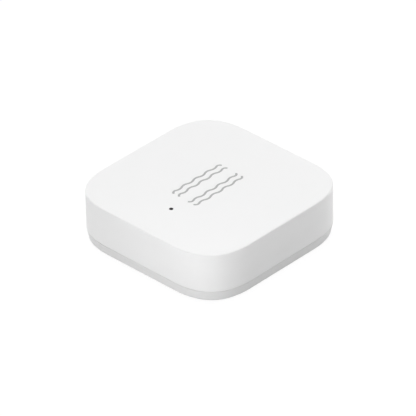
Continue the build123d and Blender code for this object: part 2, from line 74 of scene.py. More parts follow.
# Boxes and colours of the engineering model
SHELL_LOW, SHELL_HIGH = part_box("top_shell")
BASE_LOW, BASE_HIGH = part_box("base_cover")
PAD_LOW, PAD_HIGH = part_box("adhesive_pad")
MARKS_LOW, MARKS_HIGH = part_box("wave_marks")
BOARD_LOW, BOARD_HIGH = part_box("circuit_board")
CRADLE_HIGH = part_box("battery_cradle")[1]
CAN_LOW, CAN_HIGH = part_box("cell_can")
CAP_LOW, CAP_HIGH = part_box("cell_cap")
SEAL_LOW, SEAL_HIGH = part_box("cell_seal")
SEPARATOR_LOW, SEPARATOR_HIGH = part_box("cell_separator")
STEM_LOW, STEM_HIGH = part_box("switch_plunger")
HALF_WIDTH = SHELL_HIGH.x
COLOURS = {material["slot"]: material["base_color"] for material in frame["record"]["materials"]}
SLOTS = {part["node"]: part["material_slot"] for part in frame["record"]["subparts"]}
BODIES = {
    node: body for body, nodes in frame["record"]["behaviour"]["bodies"].items() for node in nodes
}


def length(label, millimetres, description, least=0):
    """A size that a user may change, in metres, with its default given in millimetres."""
    return FloatProperty(
        name=label, description=description, default=millimetres * MM, min=least, unit="LENGTH"
    )


def bearing(label, degrees, description):
    """An angle that a user may change, with its default given in degrees."""
    return FloatProperty(
        name=label,
        description=description,
        default=radians(degrees),
        subtype="ANGLE",
        unit="ROTATION",
    )


def colour(label, slot, description):
    """A colour that a user may change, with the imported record's as its default."""
    return FloatVectorProperty(
        name=label,
        description=description,
        default=COLOURS[slot],
        min=0,
        max=1,
        subtype="COLOR",
    )


class OutlineSettings(bpy.types.PropertyGroup):
    """Shape of the rounded square that the case, the base and the pad share"""

    side_radius: length("Easing Radius", 9.5, "Radius where a side starts to turn")
    middle_radius: length("Corner Radius", 5.25, "Radius in the middle of a corner")
    side_turn: bearing("Easing Turn", 19, "How far a corner turns on its easing radius")


class CaseSettings(bpy.types.PropertyGroup):
    """Sizes of the white case"""

    wall: length("Wall", 1.15, "Thickness of the upright wall")
    roof: length("Roof", 0.9, "Thickness of the roof")
    top_edge: length("Top Edge Radius", 0.17, "Rounding of the edge round the roof")
    lower_edge: length("Lower Edge Radius", 0.06, "Rounding of the edge over the seam")
    lead: length("Lead-in", 0.15, "Bevel inside the mouth of the case")
    inner_edge: length("Inner Radius", 0.2, "Rounding between wall and roof inside")
    pinhole: length("Pinhole Radius", 0.27, "Radius of the hole over the reset switch")
    pinhole_edge: length("Pinhole Edge", 0.04, "Rounding of the hole's rim")
    post: length("Post Radius", 0.95, "Radius of the posts that carry the board")
    pin: length("Pin Radius", 0.5, "Radius of a post's pin through the board")
    head: length("Head Radius", 0.8, "Radius of the staked head on a pin")
    head_height: length("Head Height", 0.35, "Height of the staked head")
    head_edge: length("Head Edge Radius", 0.25, "Rounding of the staked head")
    head_gap: length("Head Gap", 0.3, "Room between a head and the cradle's ring")
    ear: length("Ear Thickness", 0.8, "Thickness of the cradle's ears")
    ridge_width: length("Ridge Width", 6, "Length of each snap ridge")
    ridge_height: length("Ridge Height", 0.5, "Height of a snap ridge on the wall")
    ridge_proud: length("Ridge Proud", 0.14, "How far a snap ridge stands out")
    ridge_top: length("Ridge Top", 3.05, "Level of the top of a snap ridge")
    tint: colour("Case Colour", "case_plastic", "Colour of the case's plastic")


class MarkSettings(bpy.types.PropertyGroup):
    """Sizes of the wavy marks"""

    width: length("Stroke Width", 0.31, "Width of a stroke")
    swing: length("Swing", 0.13, "How far a stroke swings to each side")
    bend_length: length("Bend Length", 1.07, "Length of one bend along the stroke")
    bends: IntProperty(name="Bends", description="Bends in a stroke", default=7, min=1)
    hook_radius: length("Hook Radius", 0.5, "Radius of the hook at each end")
    hook_turn: bearing("Hook Turn", 60, "How far an end hooks round past straight")
    spacing: length("Spacing", 1.0, "Distance between the two strokes of a pair")
    pair_spacing: length("Pair Spacing", 3.22, "Distance between the two pairs")
    slide: length("Pair Slide", 0.06, "How far each pair is slid along its strokes")
    depth: length("Groove Depth", 0.06, "Depth of the groove under the ink")
    sunk: length("Ink Sunk", 0.012, "How far the ink lies under the roof")
    tint: colour("Ink Colour", "mark_ink", "Colour of the ink")


class BaseSettings(bpy.types.PropertyGroup):
    """Sizes of the grey base cover"""

    taper: length("Taper", 0.3, "How far the band draws in towards the bottom")
    band: length("Band Height", 1.45, "Height of the grey band")
    floor: length("Floor", 0.8, "Thickness of the floor")
    lower_edge: length("Lower Edge Radius", 0.12, "Rounding of the bottom edge")
    rim: length("Rim", 0.6, "Thickness of the rim inside the case")
    rim_inset: length("Rim Inset", 1.45, "Room from the side to the rim")
    rim_height: length("Rim Height", 0.65, "Height of the rim over the band")
    soft_edge: length("Soft Edge", 0.05, "Rounding of the small edges")
    tab_width: length("Tab Width", 5, "Width of a snap tab")
    tab_lead: length("Tab Lead-in", 0.2, "Bevel at the top of a tab")
    bead: length("Bead", 0.14, "How far a tab's bead stands out")
    bead_height: length("Bead Height", 0.5, "Height of a tab's bead")
    bead_drop: length("Bead Drop", 0.3, "Distance from a tab's top to its bead")
    rest_radius: length("Rest Radius", 7, "Radius of the ring that the cell rests on")
    rest_width: length("Rest Width", 0.6, "Width of that ring")
    rest_height: length("Rest Height", 0.1, "Height of that ring")
    notch_width: length("Notch Width", 6, "Width of the prising notch")
    notch_height: length("Notch Height", 0.7, "Height of the prising notch")
    notch_depth: length("Notch Depth", 0.7, "Depth of the prising notch")
    notch_edge: length("Notch Radius", 0.25, "Rounding in the notch's lower corners")
    ejector: length("Ejector Mark", 0.9, "Radius of the round marks that the mould leaves")
    ejector_depth: length("Ejector Mark Depth", 0.03, "Depth of those marks")
    pad_clearance: length("Pad Clearance", 0.1, "Room round the pad in its pocket")
    tint: colour("Base Colour", "base_plastic", "Colour of the base's plastic")


class CellSettings(bpy.types.PropertyGroup):
    """Sizes of the coin cell"""

    wall: length("Sheet Thickness", 0.25, "Thickness of the can and of the cap")
    corner: length("Can Corner Radius", 0.4, "Rounding of the can's lower corner")
    crimp: length("Crimp Radius", 0.2, "Rounding of the crimped edge")
    lip: length("Crimped Lip", 0.95, "How far the crimped edge reaches in")
    gasket: length("Gasket Thickness", 0.33, "Thickness of the gasket")
    gasket_lip: length("Gasket Lip", 0.2, "Thickness of the gasket over the cap's rim")
    gasket_show: length("Gasket Show", 0.25, "Width of the gasket that can be seen")
    fit: length("Fit", 0.02, "Room between the cell's parts")
    ring_depth: length("Ring Depth", 0.03, "Depth of the pressed rings")
    cross: length("Plus Length", 3.2, "Length of the pressed plus sign")
    cross_width: length("Plus Width", 0.5, "Width of the pressed plus sign")


class BoardSettings(bpy.types.PropertyGroup):
    """Sizes of the board's pads, solder and switch dome"""

    via: length("Via Radius", 0.22, "Radius of a plated hole's ring")
    via_hole: length("Via Hole", 0.1, "Radius of a plated hole")
    via_spacing: length("Via Spacing", 1.5, "Least distance between plated holes")
    copper: length("Copper Thickness", 0.012, "How far copper stands out of the board")
    test_pad: length("Test Pad Radius", 0.5, "Radius of a test pad")
    lead_width: length("Lead Width", 0.24, "Width of a chip's lead")
    lead_reach: length("Lead Reach", 0.22, "How far solder reaches out from a chip")
    lead_height: length("Lead Height", 0.2, "Height of the solder against a chip")
    dome: length("Dome Thickness", 0.06, "Thickness of the reset switch's snap dome")


class StageSettings(bpy.types.PropertyGroup):
    """Place of the camera and strength of the sky"""

    azimuth: bearing("Azimuth", 44.17, "How far round the camera stands from the -Y side")
    elevation: bearing("Elevation", 33.58, "How high the camera stands")
    roll: bearing("Roll", -1.155, "How far the camera is turned about its own line of sight")
    distance: length("Distance", 627, "Distance from the camera to the middle of the view")
    across: length("Across", -0.266, "How far the camera is moved to its right", least=-1)
    upwards: length("Upwards", 3.048, "How far the camera is moved up its picture", least=-1)
    lens: FloatProperty(
        name="Lens", description="Focal length of the camera", default=421.3, min=1, unit="CAMERA"
    )
    sky: FloatProperty(
        name="Sky", description="Light from all round the object", default=0.25, min=0
    )


# Steps of the curved shapes: an arc's widest step and least count, a stroke's end, the two
# kinds of arc in a corner, a large circle and a small one
ARC_STEP = radians(9)
LEAST_STEPS = 4
END_STEPS = 10
CORNER_STEPS = 16
EASING_STEPS = 7
ROUND_STEPS = 160
SMALL_ROUND_STEPS = 40

# Where the points stand along a straight side, as shares of it
STRAIGHT_SHARES = (0.03, 0.35, 0.65, 0.97)

# Extra points stand this far beside an arc, to keep the flat faces next to it flat
HOLD = 0.02 * MM

# How far a flat cap reaches in from its edge, and how far joined solids reach into each other
CAP_MARGIN = 0.25 * MM
OVERLAP = 0.2 * MM

# Edges that turn more than this stay sharp
SHARP_ANGLE = radians(32)

# How much lighter the base is shown than the record's colour
BASE_LIFT = 1.07

# Colours that have no slot: bare laminate, glass fibres, the status light's chip, and the darker
# and the lighter shade of tin and of solder
LAMINATE = (0.42, 0.38, 0.2)
GLASS = (0.3, 0.3, 0.31)
LIGHT_CHIP = (0.75, 0.55, 0.12)
TIN = ((0.62, 0.62, 0.61), (0.8, 0.8, 0.79))
SOLDER = ((0.55, 0.56, 0.57), (0.82, 0.82, 0.82))

# Share of a small part's length that each of its tinned ends covers
TINNED_SHARE = 0.25

# Straight up, and the corners of a square round the middle
UP = Vector((0, 0, 1))
SQUARE = ((-1, -1), (1, -1), (1, 1), (-1, 1))


def rounded(corners):
    """Line through corners given as (across, up) or, between the ends, (across, up, radius)."""
    line = []
    for index, corner in enumerate(corners):
        here = Vector(corner[:2])
        if len(corner) < 3:
            line.append(here)
            continue
        before = (Vector(corners[index - 1][:2]) - here).normalized()
        after = (Vector(corners[index + 1][:2]) - here).normalized()
        half_angle = before.angle(after) / 2
        reach = corner[2] / tan(half_angle)
        centre = here + (before + after).normalized() * corner[2] / sin(half_angle)
        start = here + before * reach - centre
        turn = pi - 2 * half_angle
        side = 1 if before.cross(after) < 0 else -1
        steps = max(LEAST_STEPS, ceil(turn / ARC_STEP))
        line.append(here + before * (reach + HOLD))
        for step in range(steps + 1):
            line.append(centre + Matrix.Rotation(side * turn * step / steps, 2) @ start)
        line.append(here + after * (reach + HOLD))
    return line


def square_loop(half, level):
    """Points round the rounded square of that half width, at that level."""
    sizes = bpy.context.scene.sensor_outline
    ease = sizes.side_turn
    inset = HALF_WIDTH - half
    radius_step = sizes.side_radius - sizes.middle_radius
    corner_length = sizes.side_radius - radius_step * (cos(ease) - sin(ease))
    straight = HALF_WIDTH - corner_length
    side_centre = HALF_WIDTH - sizes.side_radius
    middle_centre = side_centre + radius_step * cos(ease)
    corner = pi / 2 - 2 * ease
    arcs = (
        ((side_centre, straight), sizes.side_radius, 0, ease, EASING_STEPS),
        ((middle_centre, middle_centre), sizes.middle_radius, ease, corner, CORNER_STEPS),
        ((straight, side_centre), sizes.side_radius, ease + corner, ease, EASING_STEPS),
    )
    points = []
    for quarter in range(4):
        spin = Matrix.Rotation(quarter * pi / 2, 3, "Z")
        for centre, radius, start, turn, steps in arcs:
            for step in range(steps):
                angle = start + turn * step / steps
                out = Vector((cos(angle), sin(angle), 0)) * (radius - inset)
                points.append(spin @ (Vector((*centre, level)) + out))
        points.append(spin @ Vector((straight, half, level)))
        for share in STRAIGHT_SHARES:
            points.append(spin @ Vector((straight * (1 - 2 * share), half, level)))
    return points


def skinned(loops):
    """Closed solid through loops of points, with the first and the last one filled."""
    solid = bmesh.new()
    rings = [[solid.verts.new(point) for point in loop] for loop in loops]
    count = len(rings[0])
    for lower, upper in zip(rings, rings[1:]):
        for index in range(count):
            following = (index + 1) % count
            solid.faces.new((lower[index], lower[following], upper[following], upper[index]))
    solid.faces.new(rings[0])
    solid.faces.new(reversed(rings[-1]))
    bmesh.ops.recalc_face_normals(solid, faces=solid.faces)
    return solid


def square_sweep(profile):
    """Closed solid whose profile, given as (inset, level), runs round the rounded square."""
    return skinned([square_loop(HALF_WIDTH - inset, level) for inset, level in profile])


def turned(profile, centre=(0, 0), steps=ROUND_STEPS):
    """Solid turned from a profile given as (radius, level), closed at the axis or as a ring."""
    solid = bmesh.new()
    loops = []
    for radius, level in profile:
        if radius < HOLD / 2:
            loops.append([solid.verts.new((*centre, level))])
            continue
        loop = []
        for step in range(steps):
            angle = 2 * pi * step / steps
            place = (centre[0] + radius * cos(angle), centre[1] + radius * sin(angle), level)
            loop.append(solid.verts.new(place))
        loops.append(loop)
    if len(loops[0]) > 1:
        loops.append(loops[0])
    for lower, upper in zip(loops, loops[1:]):
        for index in range(steps):
            following = (index + 1) % steps
            face = [lower[index % len(lower)], lower[following % len(lower)]]
            face += [upper[following % len(upper)], upper[index % len(upper)]]
            face = list(dict.fromkeys(face))
            if len(face) > 2:
                solid.faces.new(face)
    bmesh.ops.recalc_face_normals(solid, faces=solid.faces)
    return solid


def prism(outline, start, across, up, along):
    """Solid on an outline laid out in two directions and stretched along a third."""
    near = [start + across * u + up * v for u, v in outline]
    return skinned([near, [point + along for point in near]])


def on_each_side(outline, width):
    """Prisms of that width on an outline given as (outwards, up), one inside each side."""
    solids = []
    for quarter in range(4):
        spin = Matrix.Rotation(quarter * pi / 2, 3, "Z")
        outwards, along = spin @ Vector((1, 0, 0)), spin @ Vector((0, 1, 0))
        solids.append(prism(outline, -along * width / 2, outwards, UP, along * width))
    return solids


def in_each_corner(profile, reach):
    """Small turned solids in the four corners, that far from the middle along X and along Y."""
    places = [(x * reach, y * reach) for x in (-1, 1) for y in (-1, 1)]
    return [turned(profile, place, SMALL_ROUND_STEPS) for place in places]


def placed(name, data):
    """New object with that mesh, lamp or camera."""
    made = bpy.data.objects.new(name, data)
    bpy.context.scene.collection.objects.link(made)
    return made


def object_of(name, solids):
    """Object that holds one or more bmesh solids."""
    mesh = bpy.data.meshes.new(name)
    whole = bmesh.new()
    for solid in solids:
        solid.to_mesh(mesh)
        whole.from_mesh(mesh)
        solid.free()
    whole.to_mesh(mesh)
    whole.free()
    return placed(name, mesh)


def settled(made):
    """Turns the object's modifiers into its own plain mesh."""
    graph = bpy.context.evaluated_depsgraph_get()
    mesh = bpy.data.meshes.new_from_object(made.evaluated_get(graph))
    made.modifiers.clear()
    made.data = mesh
    mesh.name = made.name


def combine(made, solids, operation):
    """Joins the solids to the object, or cuts them out of it."""
    tool = object_of("tool", solids) if isinstance(solids, list) else solids
    modifier = made.modifiers.new("combine", "BOOLEAN")
    modifier.object = tool
    modifier.operation = operation
    modifier.solver = "MANIFOLD"
    settled(made)
    bpy.data.objects.remove(tool)


def finish_piece(made, node_names, material, body=None, bend=None):
    """Shades a piece, gives it its finish, hides the CAD nodes it stands for and, unless it bends,
    sets it on its body.

    A piece that bends is only moved into world place; the two bodies and the points given with it
    are not used.
    """
    made.data.materials.clear()
    made.data.materials.append(material)
    made.data.shade_smooth()
    made.data.set_sharp_from_angle(angle=SHARP_ANGLE)
    weighted = made.modifiers.new("flat faces stay flat", "WEIGHTED_NORMAL")
    weighted.keep_sharp = True
    weighted.weight = 100
    settled(made)
    if bend:
        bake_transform(made)
    else:
        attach(made, body or BODIES[node_names[0]])
    if node_names:
        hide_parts(*node_names)


def both_ways(operation):
    """Methods that add a Math node for an operator and for its reflected form."""

    def forwards(socket, other):
        return socket.graph.maths(operation, socket, other)

    def backwards(socket, other):
        return socket.graph.maths(operation, other, socket)

    return forwards, backwards


class Socket:
    """A node's output, which adds Math nodes where it is used in an expression."""

    def __init__(self, graph, output):
        self.graph = graph
        self.output = output

    def __abs__(self):
        return self.graph.maths("ABSOLUTE", self)

    __add__, __radd__ = both_ways("ADD")
    __sub__, __rsub__ = both_ways("SUBTRACT")
    __mul__, __rmul__ = both_ways("MULTIPLY")
    __truediv__, __rtruediv__ = both_ways("DIVIDE")
    __pow__, __rpow__ = both_ways("POWER")
    __mod__, __rmod__ = both_ways("FLOORED_MODULO")
    __gt__ = both_ways("GREATER_THAN")[0]
    __lt__ = both_ways("LESS_THAN")[0]


class Graph:
    """Node tree with one way to add any node."""

    def __init__(self, tree):
        self.tree = tree

    def node(self, kind, sockets=None, settings=None):
        """Adds a node, and sets its settings first and then its sockets' values or links."""
        node = self.tree.nodes.new(kind)
        for name, value in (settings or {}).items():
            setattr(node, name, value)
        for name, value in (sockets or {}).items():
            if isinstance(value, Socket):
                self.tree.links.new(value.output, node.inputs[name])
            else:
                node.inputs[name].default_value = value
        return node

    def out(self, kind, sockets=None, settings=None, output=0):
        """Adds a node and gives one of its outputs."""
        return Socket(self, self.node(kind, sockets, settings).outputs[output])

    def maths(self, operation, *values):
        """Adds a Math node."""
        return self.out("ShaderNodeMath", dict(enumerate(values)), {"operation": operation})

    def largest(self, first, *others):
        """Adds Math nodes that give the largest of the values."""
        for other in others:
            first = self.maths("MAXIMUM", first, other)
        return first

    def joined(self, x, y, z):
        """Adds a vector of three values."""
        return self.out("ShaderNodeCombineXYZ", {"X": x, "Y": y, "Z": z})

    def split(self, vector):
        """Gives the three values of a vector."""
        parts = self.node("ShaderNodeSeparateXYZ", {"Vector": vector})
        return [Socket(self, parts.outputs[axis]) for axis in "XYZ"]

    def in_sight(self, path):
        """1 for rays that show a thing directly, in a reflection or through something clear."""
        rays = ("Is Camera Ray", "Is Glossy Ray", "Is Transmission Ray")
        return self.largest(*[Socket(self, path.outputs[name]) for name in rays])


def scaled(tint, share):
    """Colour made darker or lighter by a share."""
    return tuple(min(1.0, part * share) for part in tint)


class Finish(Graph):
    """Material of one colour, whose patterns follow the object's own coordinates, in metres."""

    def __init__(self, name, tint=None):
        self.tint = tint
        self.material = bpy.data.materials.new(name)
        self.material.use_nodes = True
        super().__init__(self.material.node_tree)
        self.tree.nodes.clear()
        self.place = self.out("ShaderNodeTexCoord", output="Object")
        self.x, self.y, self.z = self.split(self.place)

    def noise(self, size, detail=2.0, at=None):
        """Noise from 0 to 1 in blotches of about that size."""
        sockets = {"Vector": at or self.place, "Scale": 1 / size, "Detail": detail}
        return self.out("ShaderNodeTexNoise", sockets)

    def cells(self, size, feature="F1"):
        """Distance from 0 to 1 in rounded cells of about that size."""
        sockets = {"Vector": self.place, "Scale": 1 / size}
        return self.out("ShaderNodeTexVoronoi", sockets, {"feature": feature}, "Distance")

    def ramp(self, value, low, high):
        """Value from 0 to 1 between two limits, with soft ends."""
        sockets = {"Value": value, "From Min": low, "From Max": high}
        return self.out("ShaderNodeMapRange", sockets, {"interpolation_type": "SMOOTHSTEP"})

    def stretched(self, x, y, z):
        """Object coordinates scaled by three numbers."""
        sockets = {"Vector": self.place, "Scale": (x, y, z)}
        return self.out("ShaderNodeMapping", sockets, {"vector_type": "POINT"})

    def radius(self, centre=(0, 0)):
        """Distance from an upright line through the centre."""
        return ((self.x - centre[0]) ** 2 + (self.y - centre[1]) ** 2) ** 0.5

    def mix(self, factor, first, second):
        """Colour between two colours, given as three numbers or a link."""
        first, second = [
            value if isinstance(value, Socket) else (*value, 1) for value in (first, second)
        ]
        sockets = {0: factor, 6: first, 7: second}
        return self.out("ShaderNodeMix", sockets, {"data_type": "RGBA"}, 2)

    def tone(self, share):
        """The finish's colour made darker or lighter by a share."""
        return scaled(self.tint, share)

    def tones(self, factor, first, second):
        """Colour between two tones, given as their shares."""
        return self.mix(factor, self.tone(first), self.tone(second))

    def surface(self, shade, roughness, relief, depth, **others):
        """Ends the material. Relief from 0 to 1 is raised to that depth in metres."""
        bump = self.out("ShaderNodeBump", {"Height": relief, "Distance": depth})
        sockets = {"Base Color": shade, "Roughness": roughness, "Normal": bump}
        for name, value in others.items():
            sockets[name.replace("_", " ").title().replace("Ior", "IOR")] = value
        shader = self.out("ShaderNodeBsdfPrincipled", sockets)
        self.node("ShaderNodeOutputMaterial", {"Surface": shader})
        return self.material


def moulded_satin(name, tint, edge_level, gloss=0.42, hole=None):
    """Satin moulded plastic: fine spark-eroded grain, faint flow shades, a rubbed edge and, when a
    hole is given, painted shade inside it.
    """
    finish = Finish(name, tint)
    grain = 0.09 * MM
    flow = finish.noise(6 * MM, 3.0, finish.stretched(1.0, 1.0, 2.5))
    fine = finish.noise(grain, 2.0)
    pits = finish.cells(grain * 2.2)
    shade = finish.tones(flow, 0.985, 1.012)
    shade = finish.mix(fine * 0.12, shade, finish.tone(0.96))
    # Painted shade: the colour is made nearly black inside the hole, where shade falls
    if hole:
        middle, reach = hole
        inside = finish.radius((middle.x, middle.y)) < reach
        shade = finish.mix(inside, shade, finish.tone(0.15))
    rub = finish.ramp(finish.z, edge_level - 0.35 * MM, edge_level) * finish.noise(1.4 * MM)
    roughness = gloss + fine * 0.10 + flow * 0.04 - rub * 0.08
    return finish.surface(shade, roughness, fine * 0.6 + pits * 0.4, 0.004 * MM, ior=1.5)


def printed_ink():
    """Matt grey ink, a little uneven where it settled in the grooves."""
    finish = Finish("mark ink", bpy.context.scene.sensor_marks.tint)
    blotch = finish.noise(0.5 * MM, 3.0)
    fine = finish.noise(0.05 * MM)
    shade = finish.tones(blotch, 0.9, 1.0)
    return finish.surface(shade, 0.5 + blotch * 0.15, fine, 0.004 * MM)


def foam_tape():
    """Closed-cell foam: open cells on its cut sides and a tacky film over its face."""
    finish = Finish("pad foam", COLOURS["pad_foam"])
    bubbles = finish.cells(0.09 * MM, "SMOOTH_F1")
    large = finish.cells(0.24 * MM)
    film = finish.ramp(0.03 * MM - finish.z, 0.0, 0.02 * MM)
    clouds = finish.noise(3 * MM, 3.0)
    shade = finish.tones(bubbles * 0.5 + large * 0.5, 0.7, 1.12)
    shade = finish.mix(clouds * 0.3, shade, finish.tone(0.85))
    shade = finish.mix(film * 0.25, shade, finish.tone(1.1))
    relief = bubbles * 0.6 + large * 0.4
    return finish.surface(shade, 0.85 - film * 0.4, relief * (1 - film * 0.5), 0.03 * MM)


def board_mask():
    """Green mask over copper tracks and a ground pour, with bare laminate on the edge."""
    finish = Finish("board laminate", COLOURS["board_laminate"])
    sockets = {"Vector": finish.place, "Scale": 1 / (3 * MM), "Distortion": 1.5}
    weave = finish.out("ShaderNodeTexWave", sockets, {"bands_direction": "DIAGONAL"}, "Fac")
    pitch = 0.5 * MM
    tracks = []
    for line, along in ((finish.x, finish.y), (finish.y, finish.x)):
        lane = finish.maths("SNAP", line, pitch)
        run = finish.noise(3 * MM, 0.0, finish.joined(lane * 7, along, lane))
        across = abs((line % pitch) - pitch / 2)
        tracks.append((across < pitch / 5) * (run > 0.54))
    coarse = [finish.maths("SNAP", line, 4 * pitch) for line in (finish.x, finish.y)]
    pour = finish.noise(6 * MM, 0.0, finish.joined(*coarse, 0.0)) > 0.5
    outward = finish.largest(abs(finish.x), abs(finish.y))
    pour = finish.largest(pour, outward > BOARD_HIGH.x - 2 * pitch)
    low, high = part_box("board_antenna")
    away = finish.largest(abs(finish.x) > high.x + pitch, finish.y < low.y - pitch)
    copper = finish.largest(*tracks, pour) * away
    # The mask ends just short of the board's upper and lower faces
    height = abs(finish.z - (BOARD_LOW.z + BOARD_HIGH.z) / 2)
    edge = 1 - finish.ramp(height, 0.27 * MM, 0.295 * MM)
    shade = finish.tones(copper, 0.68, 0.95)
    shade = finish.mix(weave * 0.1, shade, finish.tone(0.5))
    shade = finish.mix(edge, shade, LAMINATE)
    fine = finish.noise(0.12 * MM)
    relief = copper * (1 - edge) + fine * 0.2
    roughness = 0.3 + fine * 0.08 + edge * 0.4
    return finish.surface(shade, roughness, relief, 0.012 * MM, coat_weight=0.25)


def metal(name, tint, gloss, direction, streak=0.02 * MM, blemish=1.6 * MM):
    """Worked metal: fine streaks along X, along Y or round its axis, with dull patches."""
    finish = Finish(name, tint)
    if direction == "ROUND":
        at = finish.joined(finish.radius(), finish.z, 0.0)
    else:
        shares = {"X": (0.04, 1.0, 1.0), "Y": (1.0, 0.04, 1.0)}
        at = finish.stretched(*shares[direction])
    lines = finish.noise(streak, 2.0, at) * 0.5 + finish.noise(streak * 5, 2.0, at) * 0.5
    patches = finish.noise(blemish, 4.0)
    scratch = finish.ramp(finish.noise(0.35 * MM, 5.0, finish.stretched(0.2, 1.0, 0.5)), 0.62, 0.7)
    shade = finish.tones(patches, 0.8, 0.96)
    shade = finish.mix(finish.ramp(lines, 0.35, 0.7) * 0.5, shade, finish.tone(0.66))
    roughness = gloss + lines * 0.14 + patches * 0.08 + scratch * 0.12
    relief = lines * 0.8 + scratch * 0.2
    return finish.surface(shade, roughness, relief, 0.0015 * MM, metallic=1.0)


def filled_plastic(name, tint):
    """Dark engineering plastic with short glass fibres near its skin."""
    finish = Finish(name, tint)
    fibres = finish.noise(0.08 * MM, 3.0, finish.stretched(0.25, 1.0, 1.0))
    clouds = finish.noise(1.5 * MM, 2.0)
    specks = finish.ramp(fibres, 0.6, 0.75)
    shade = finish.tones(clouds, 0.85, 1.3)
    shade = finish.mix(specks * 0.18, shade, GLASS)
    return finish.surface(shade, 0.5 + fibres * 0.16, fibres, 0.006 * MM)


def plain_moulding(name, tint, gloss=0.45):
    """Small moulded part with a fine even grain."""
    finish = Finish(name, tint)
    fine = finish.noise(0.06 * MM, 2.0)
    clouds = finish.noise(1.2 * MM, 2.0)
    shade = finish.tones(clouds, 0.94, 1.04)
    return finish.surface(shade, gloss + fine * 0.12, fine, 0.003 * MM)


def pressed_powder():
    """Black powder pressed into a tablet, with grains and a few pits."""
    finish = Finish("cathode mix", COLOURS["cathode_mix"])
    grains = finish.cells(0.07 * MM)
    pits = finish.ramp(finish.noise(0.4 * MM, 4.0), 0.35, 0.6)
    shade = finish.tones(grains, 0.6, 1.9)
    return finish.surface(shade, 0.9 - grains * 0.2, grains * 0.5 + pits * 0.5, 0.02 * MM)


def unwoven_sheet():
    """Thin white sheet of laid fibres."""
    finish = Finish("separator felt", COLOURS["separator_felt"])
    first = finish.noise(0.12 * MM, 4.0, finish.stretched(0.12, 1.0, 1.0))
    second = finish.noise(0.12 * MM, 4.0, finish.stretched(1.0, 0.12, 1.0))
    fibres = finish.largest(first, second)
    shade = finish.tones(finish.ramp(fibres, 0.45, 0.75), 0.82, 1.05)
    return finish.surface(shade, 0.9, fibres, 0.01 * MM, sheen_weight=0.3)


def soft_metal():
    """Dull lithium with rolled streaks and darker tarnish."""
    finish = Finish("lithium metal", COLOURS["lithium_metal"])
    rolled = finish.noise(0.1 * MM, 3.0, finish.stretched(0.05, 1.0, 1.0))
    tarnish = finish.ramp(finish.noise(2.5 * MM, 4.0), 0.45, 0.7)
    shade = finish.tones(tarnish * 0.6, 1, 0.55)
    roughness = 0.45 + tarnish * 0.25
    return finish.surface(shade, roughness, rolled, 0.006 * MM, metallic=1.0 - tarnish * 0.3)


def clear_resin():
    """Yellow resin over the light's chip, darker in the middle and glossy outside."""
    low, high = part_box("led_lens")
    finish = Finish("led resin", COLOURS["led_resin"])
    middle = ((low.x + high.x) / 2, (low.y + high.y) / 2)
    core = 1 - finish.ramp(finish.radius(middle), 0.15 * MM, 0.45 * MM)
    cloud = finish.noise(0.2 * MM)
    shade = finish.mix(core, finish.tint, LIGHT_CHIP)
    return finish.surface(shade, 0.12 + cloud * 0.1, cloud, 0.002 * MM, coat_weight=0.6)


def chip_body(node):
    """Black moulded package: fine grain, and a smooth round dimple at its first corner."""
    low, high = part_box(node)
    inset = 0.55 * MM
    finish = Finish(node.replace("_", " "), COLOURS["chip_epoxy"])
    dimple = 1 - finish.ramp(finish.radius((low.x + inset, high.y - inset)), 0.17 * MM, 0.21 * MM)
    grain = finish.noise(0.05 * MM, 3.0)
    clouds = finish.noise(0.9 * MM, 2.0)
    shade = finish.tones(clouds, 0.8, 1.5)
    shade = finish.mix(dimple * 0.5, shade, finish.tone(2.2))
    roughness = 0.62 + grain * 0.15 - dimple * 0.3
    return finish.surface(shade, roughness, grain * (1 - dimple), 0.008 * MM)


def tinned_ends(node, slot, axis, count):
    """Ceramic part with tinned ends, for a row of them along or across its length."""
    low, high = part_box(node)
    place = "XY".index(axis)
    span = (high[place] - low[place]) / (2 * count - 1)
    finish = Finish(node.replace("_", " "), COLOURS[slot])
    line = (finish.x, finish.y)[place] - low[place]
    from_middle = abs(line % (2 * span) - span / 2)
    bare = (0.5 - TINNED_SHARE) * span
    ends = finish.ramp(from_middle, bare - 0.01 * MM, bare)
    grain = finish.noise(0.05 * MM, 3.0)
    wobble = finish.noise(0.25 * MM, 2.0)
    body = finish.tones(grain, 0.85, 1.15)
    tin = finish.mix(wobble, *TIN)
    shade = finish.mix(ends, body, tin)
    roughness = 0.5 + grain * 0.1 - ends * 0.2 + wobble * 0.1
    relief = grain * (1 - ends) + wobble * ends
    return finish.surface(shade, roughness, relief, 0.006 * MM, metallic=ends)


def solder():
    """Bright solder, a little dull where it cooled last."""
    finish = Finish("solder")
    wobble = finish.noise(0.12 * MM, 3.0)
    shade = finish.mix(wobble, *SOLDER)
    return finish.surface(shade, 0.22 + wobble * 0.25, wobble, 0.008 * MM, metallic=1.0)


def case_finish():
    """White satin plastic of the case, with painted shade inside the pinhole."""
    sizes = bpy.context.scene.sensor_case
    # The painted shade reaches a hair wider than the pinhole, so that its walls lie inside
    hole = ((STEM_LOW + STEM_HIGH) / 2, sizes.pinhole + HOLD / 4)
    return moulded_satin("case plastic", sizes.tint, SHELL_HIGH.z, hole=hole)


def base_finish():
    """Light grey satin plastic of the base, a shade lighter than the record's."""
    tint = scaled(bpy.context.scene.sensor_base.tint, BASE_LIFT)
    return moulded_satin("base plastic", tint, BASE_LOW.z, gloss=0.5)


# How each metal was worked: gloss, direction, width of its streaks and size of its patches
METALS = {
    "copper_trace": (0.28, "Y", 0.05 * MM, 0.8 * MM),
    "contact_metal": (0.25, "Y"),
    "switch_metal": (0.24, "X"),
    "crystal_metal": (0.3, "X", 0.03 * MM),
}

# Axis along which each row of small parts has its tinned ends, and how many stand along it
TINNED = {
    "resistors": ("X", 1),
    "capacitors": ("Y", 1),
    "reservoir_capacitors": ("X", 1),
    "inductors": ("X", 2),
}

OWN_FINISHES = {
    "board_laminate": board_mask,
    "cathode_mix": pressed_powder,
    "lithium_metal": soft_metal,
    "led_resin": clear_resin,
}


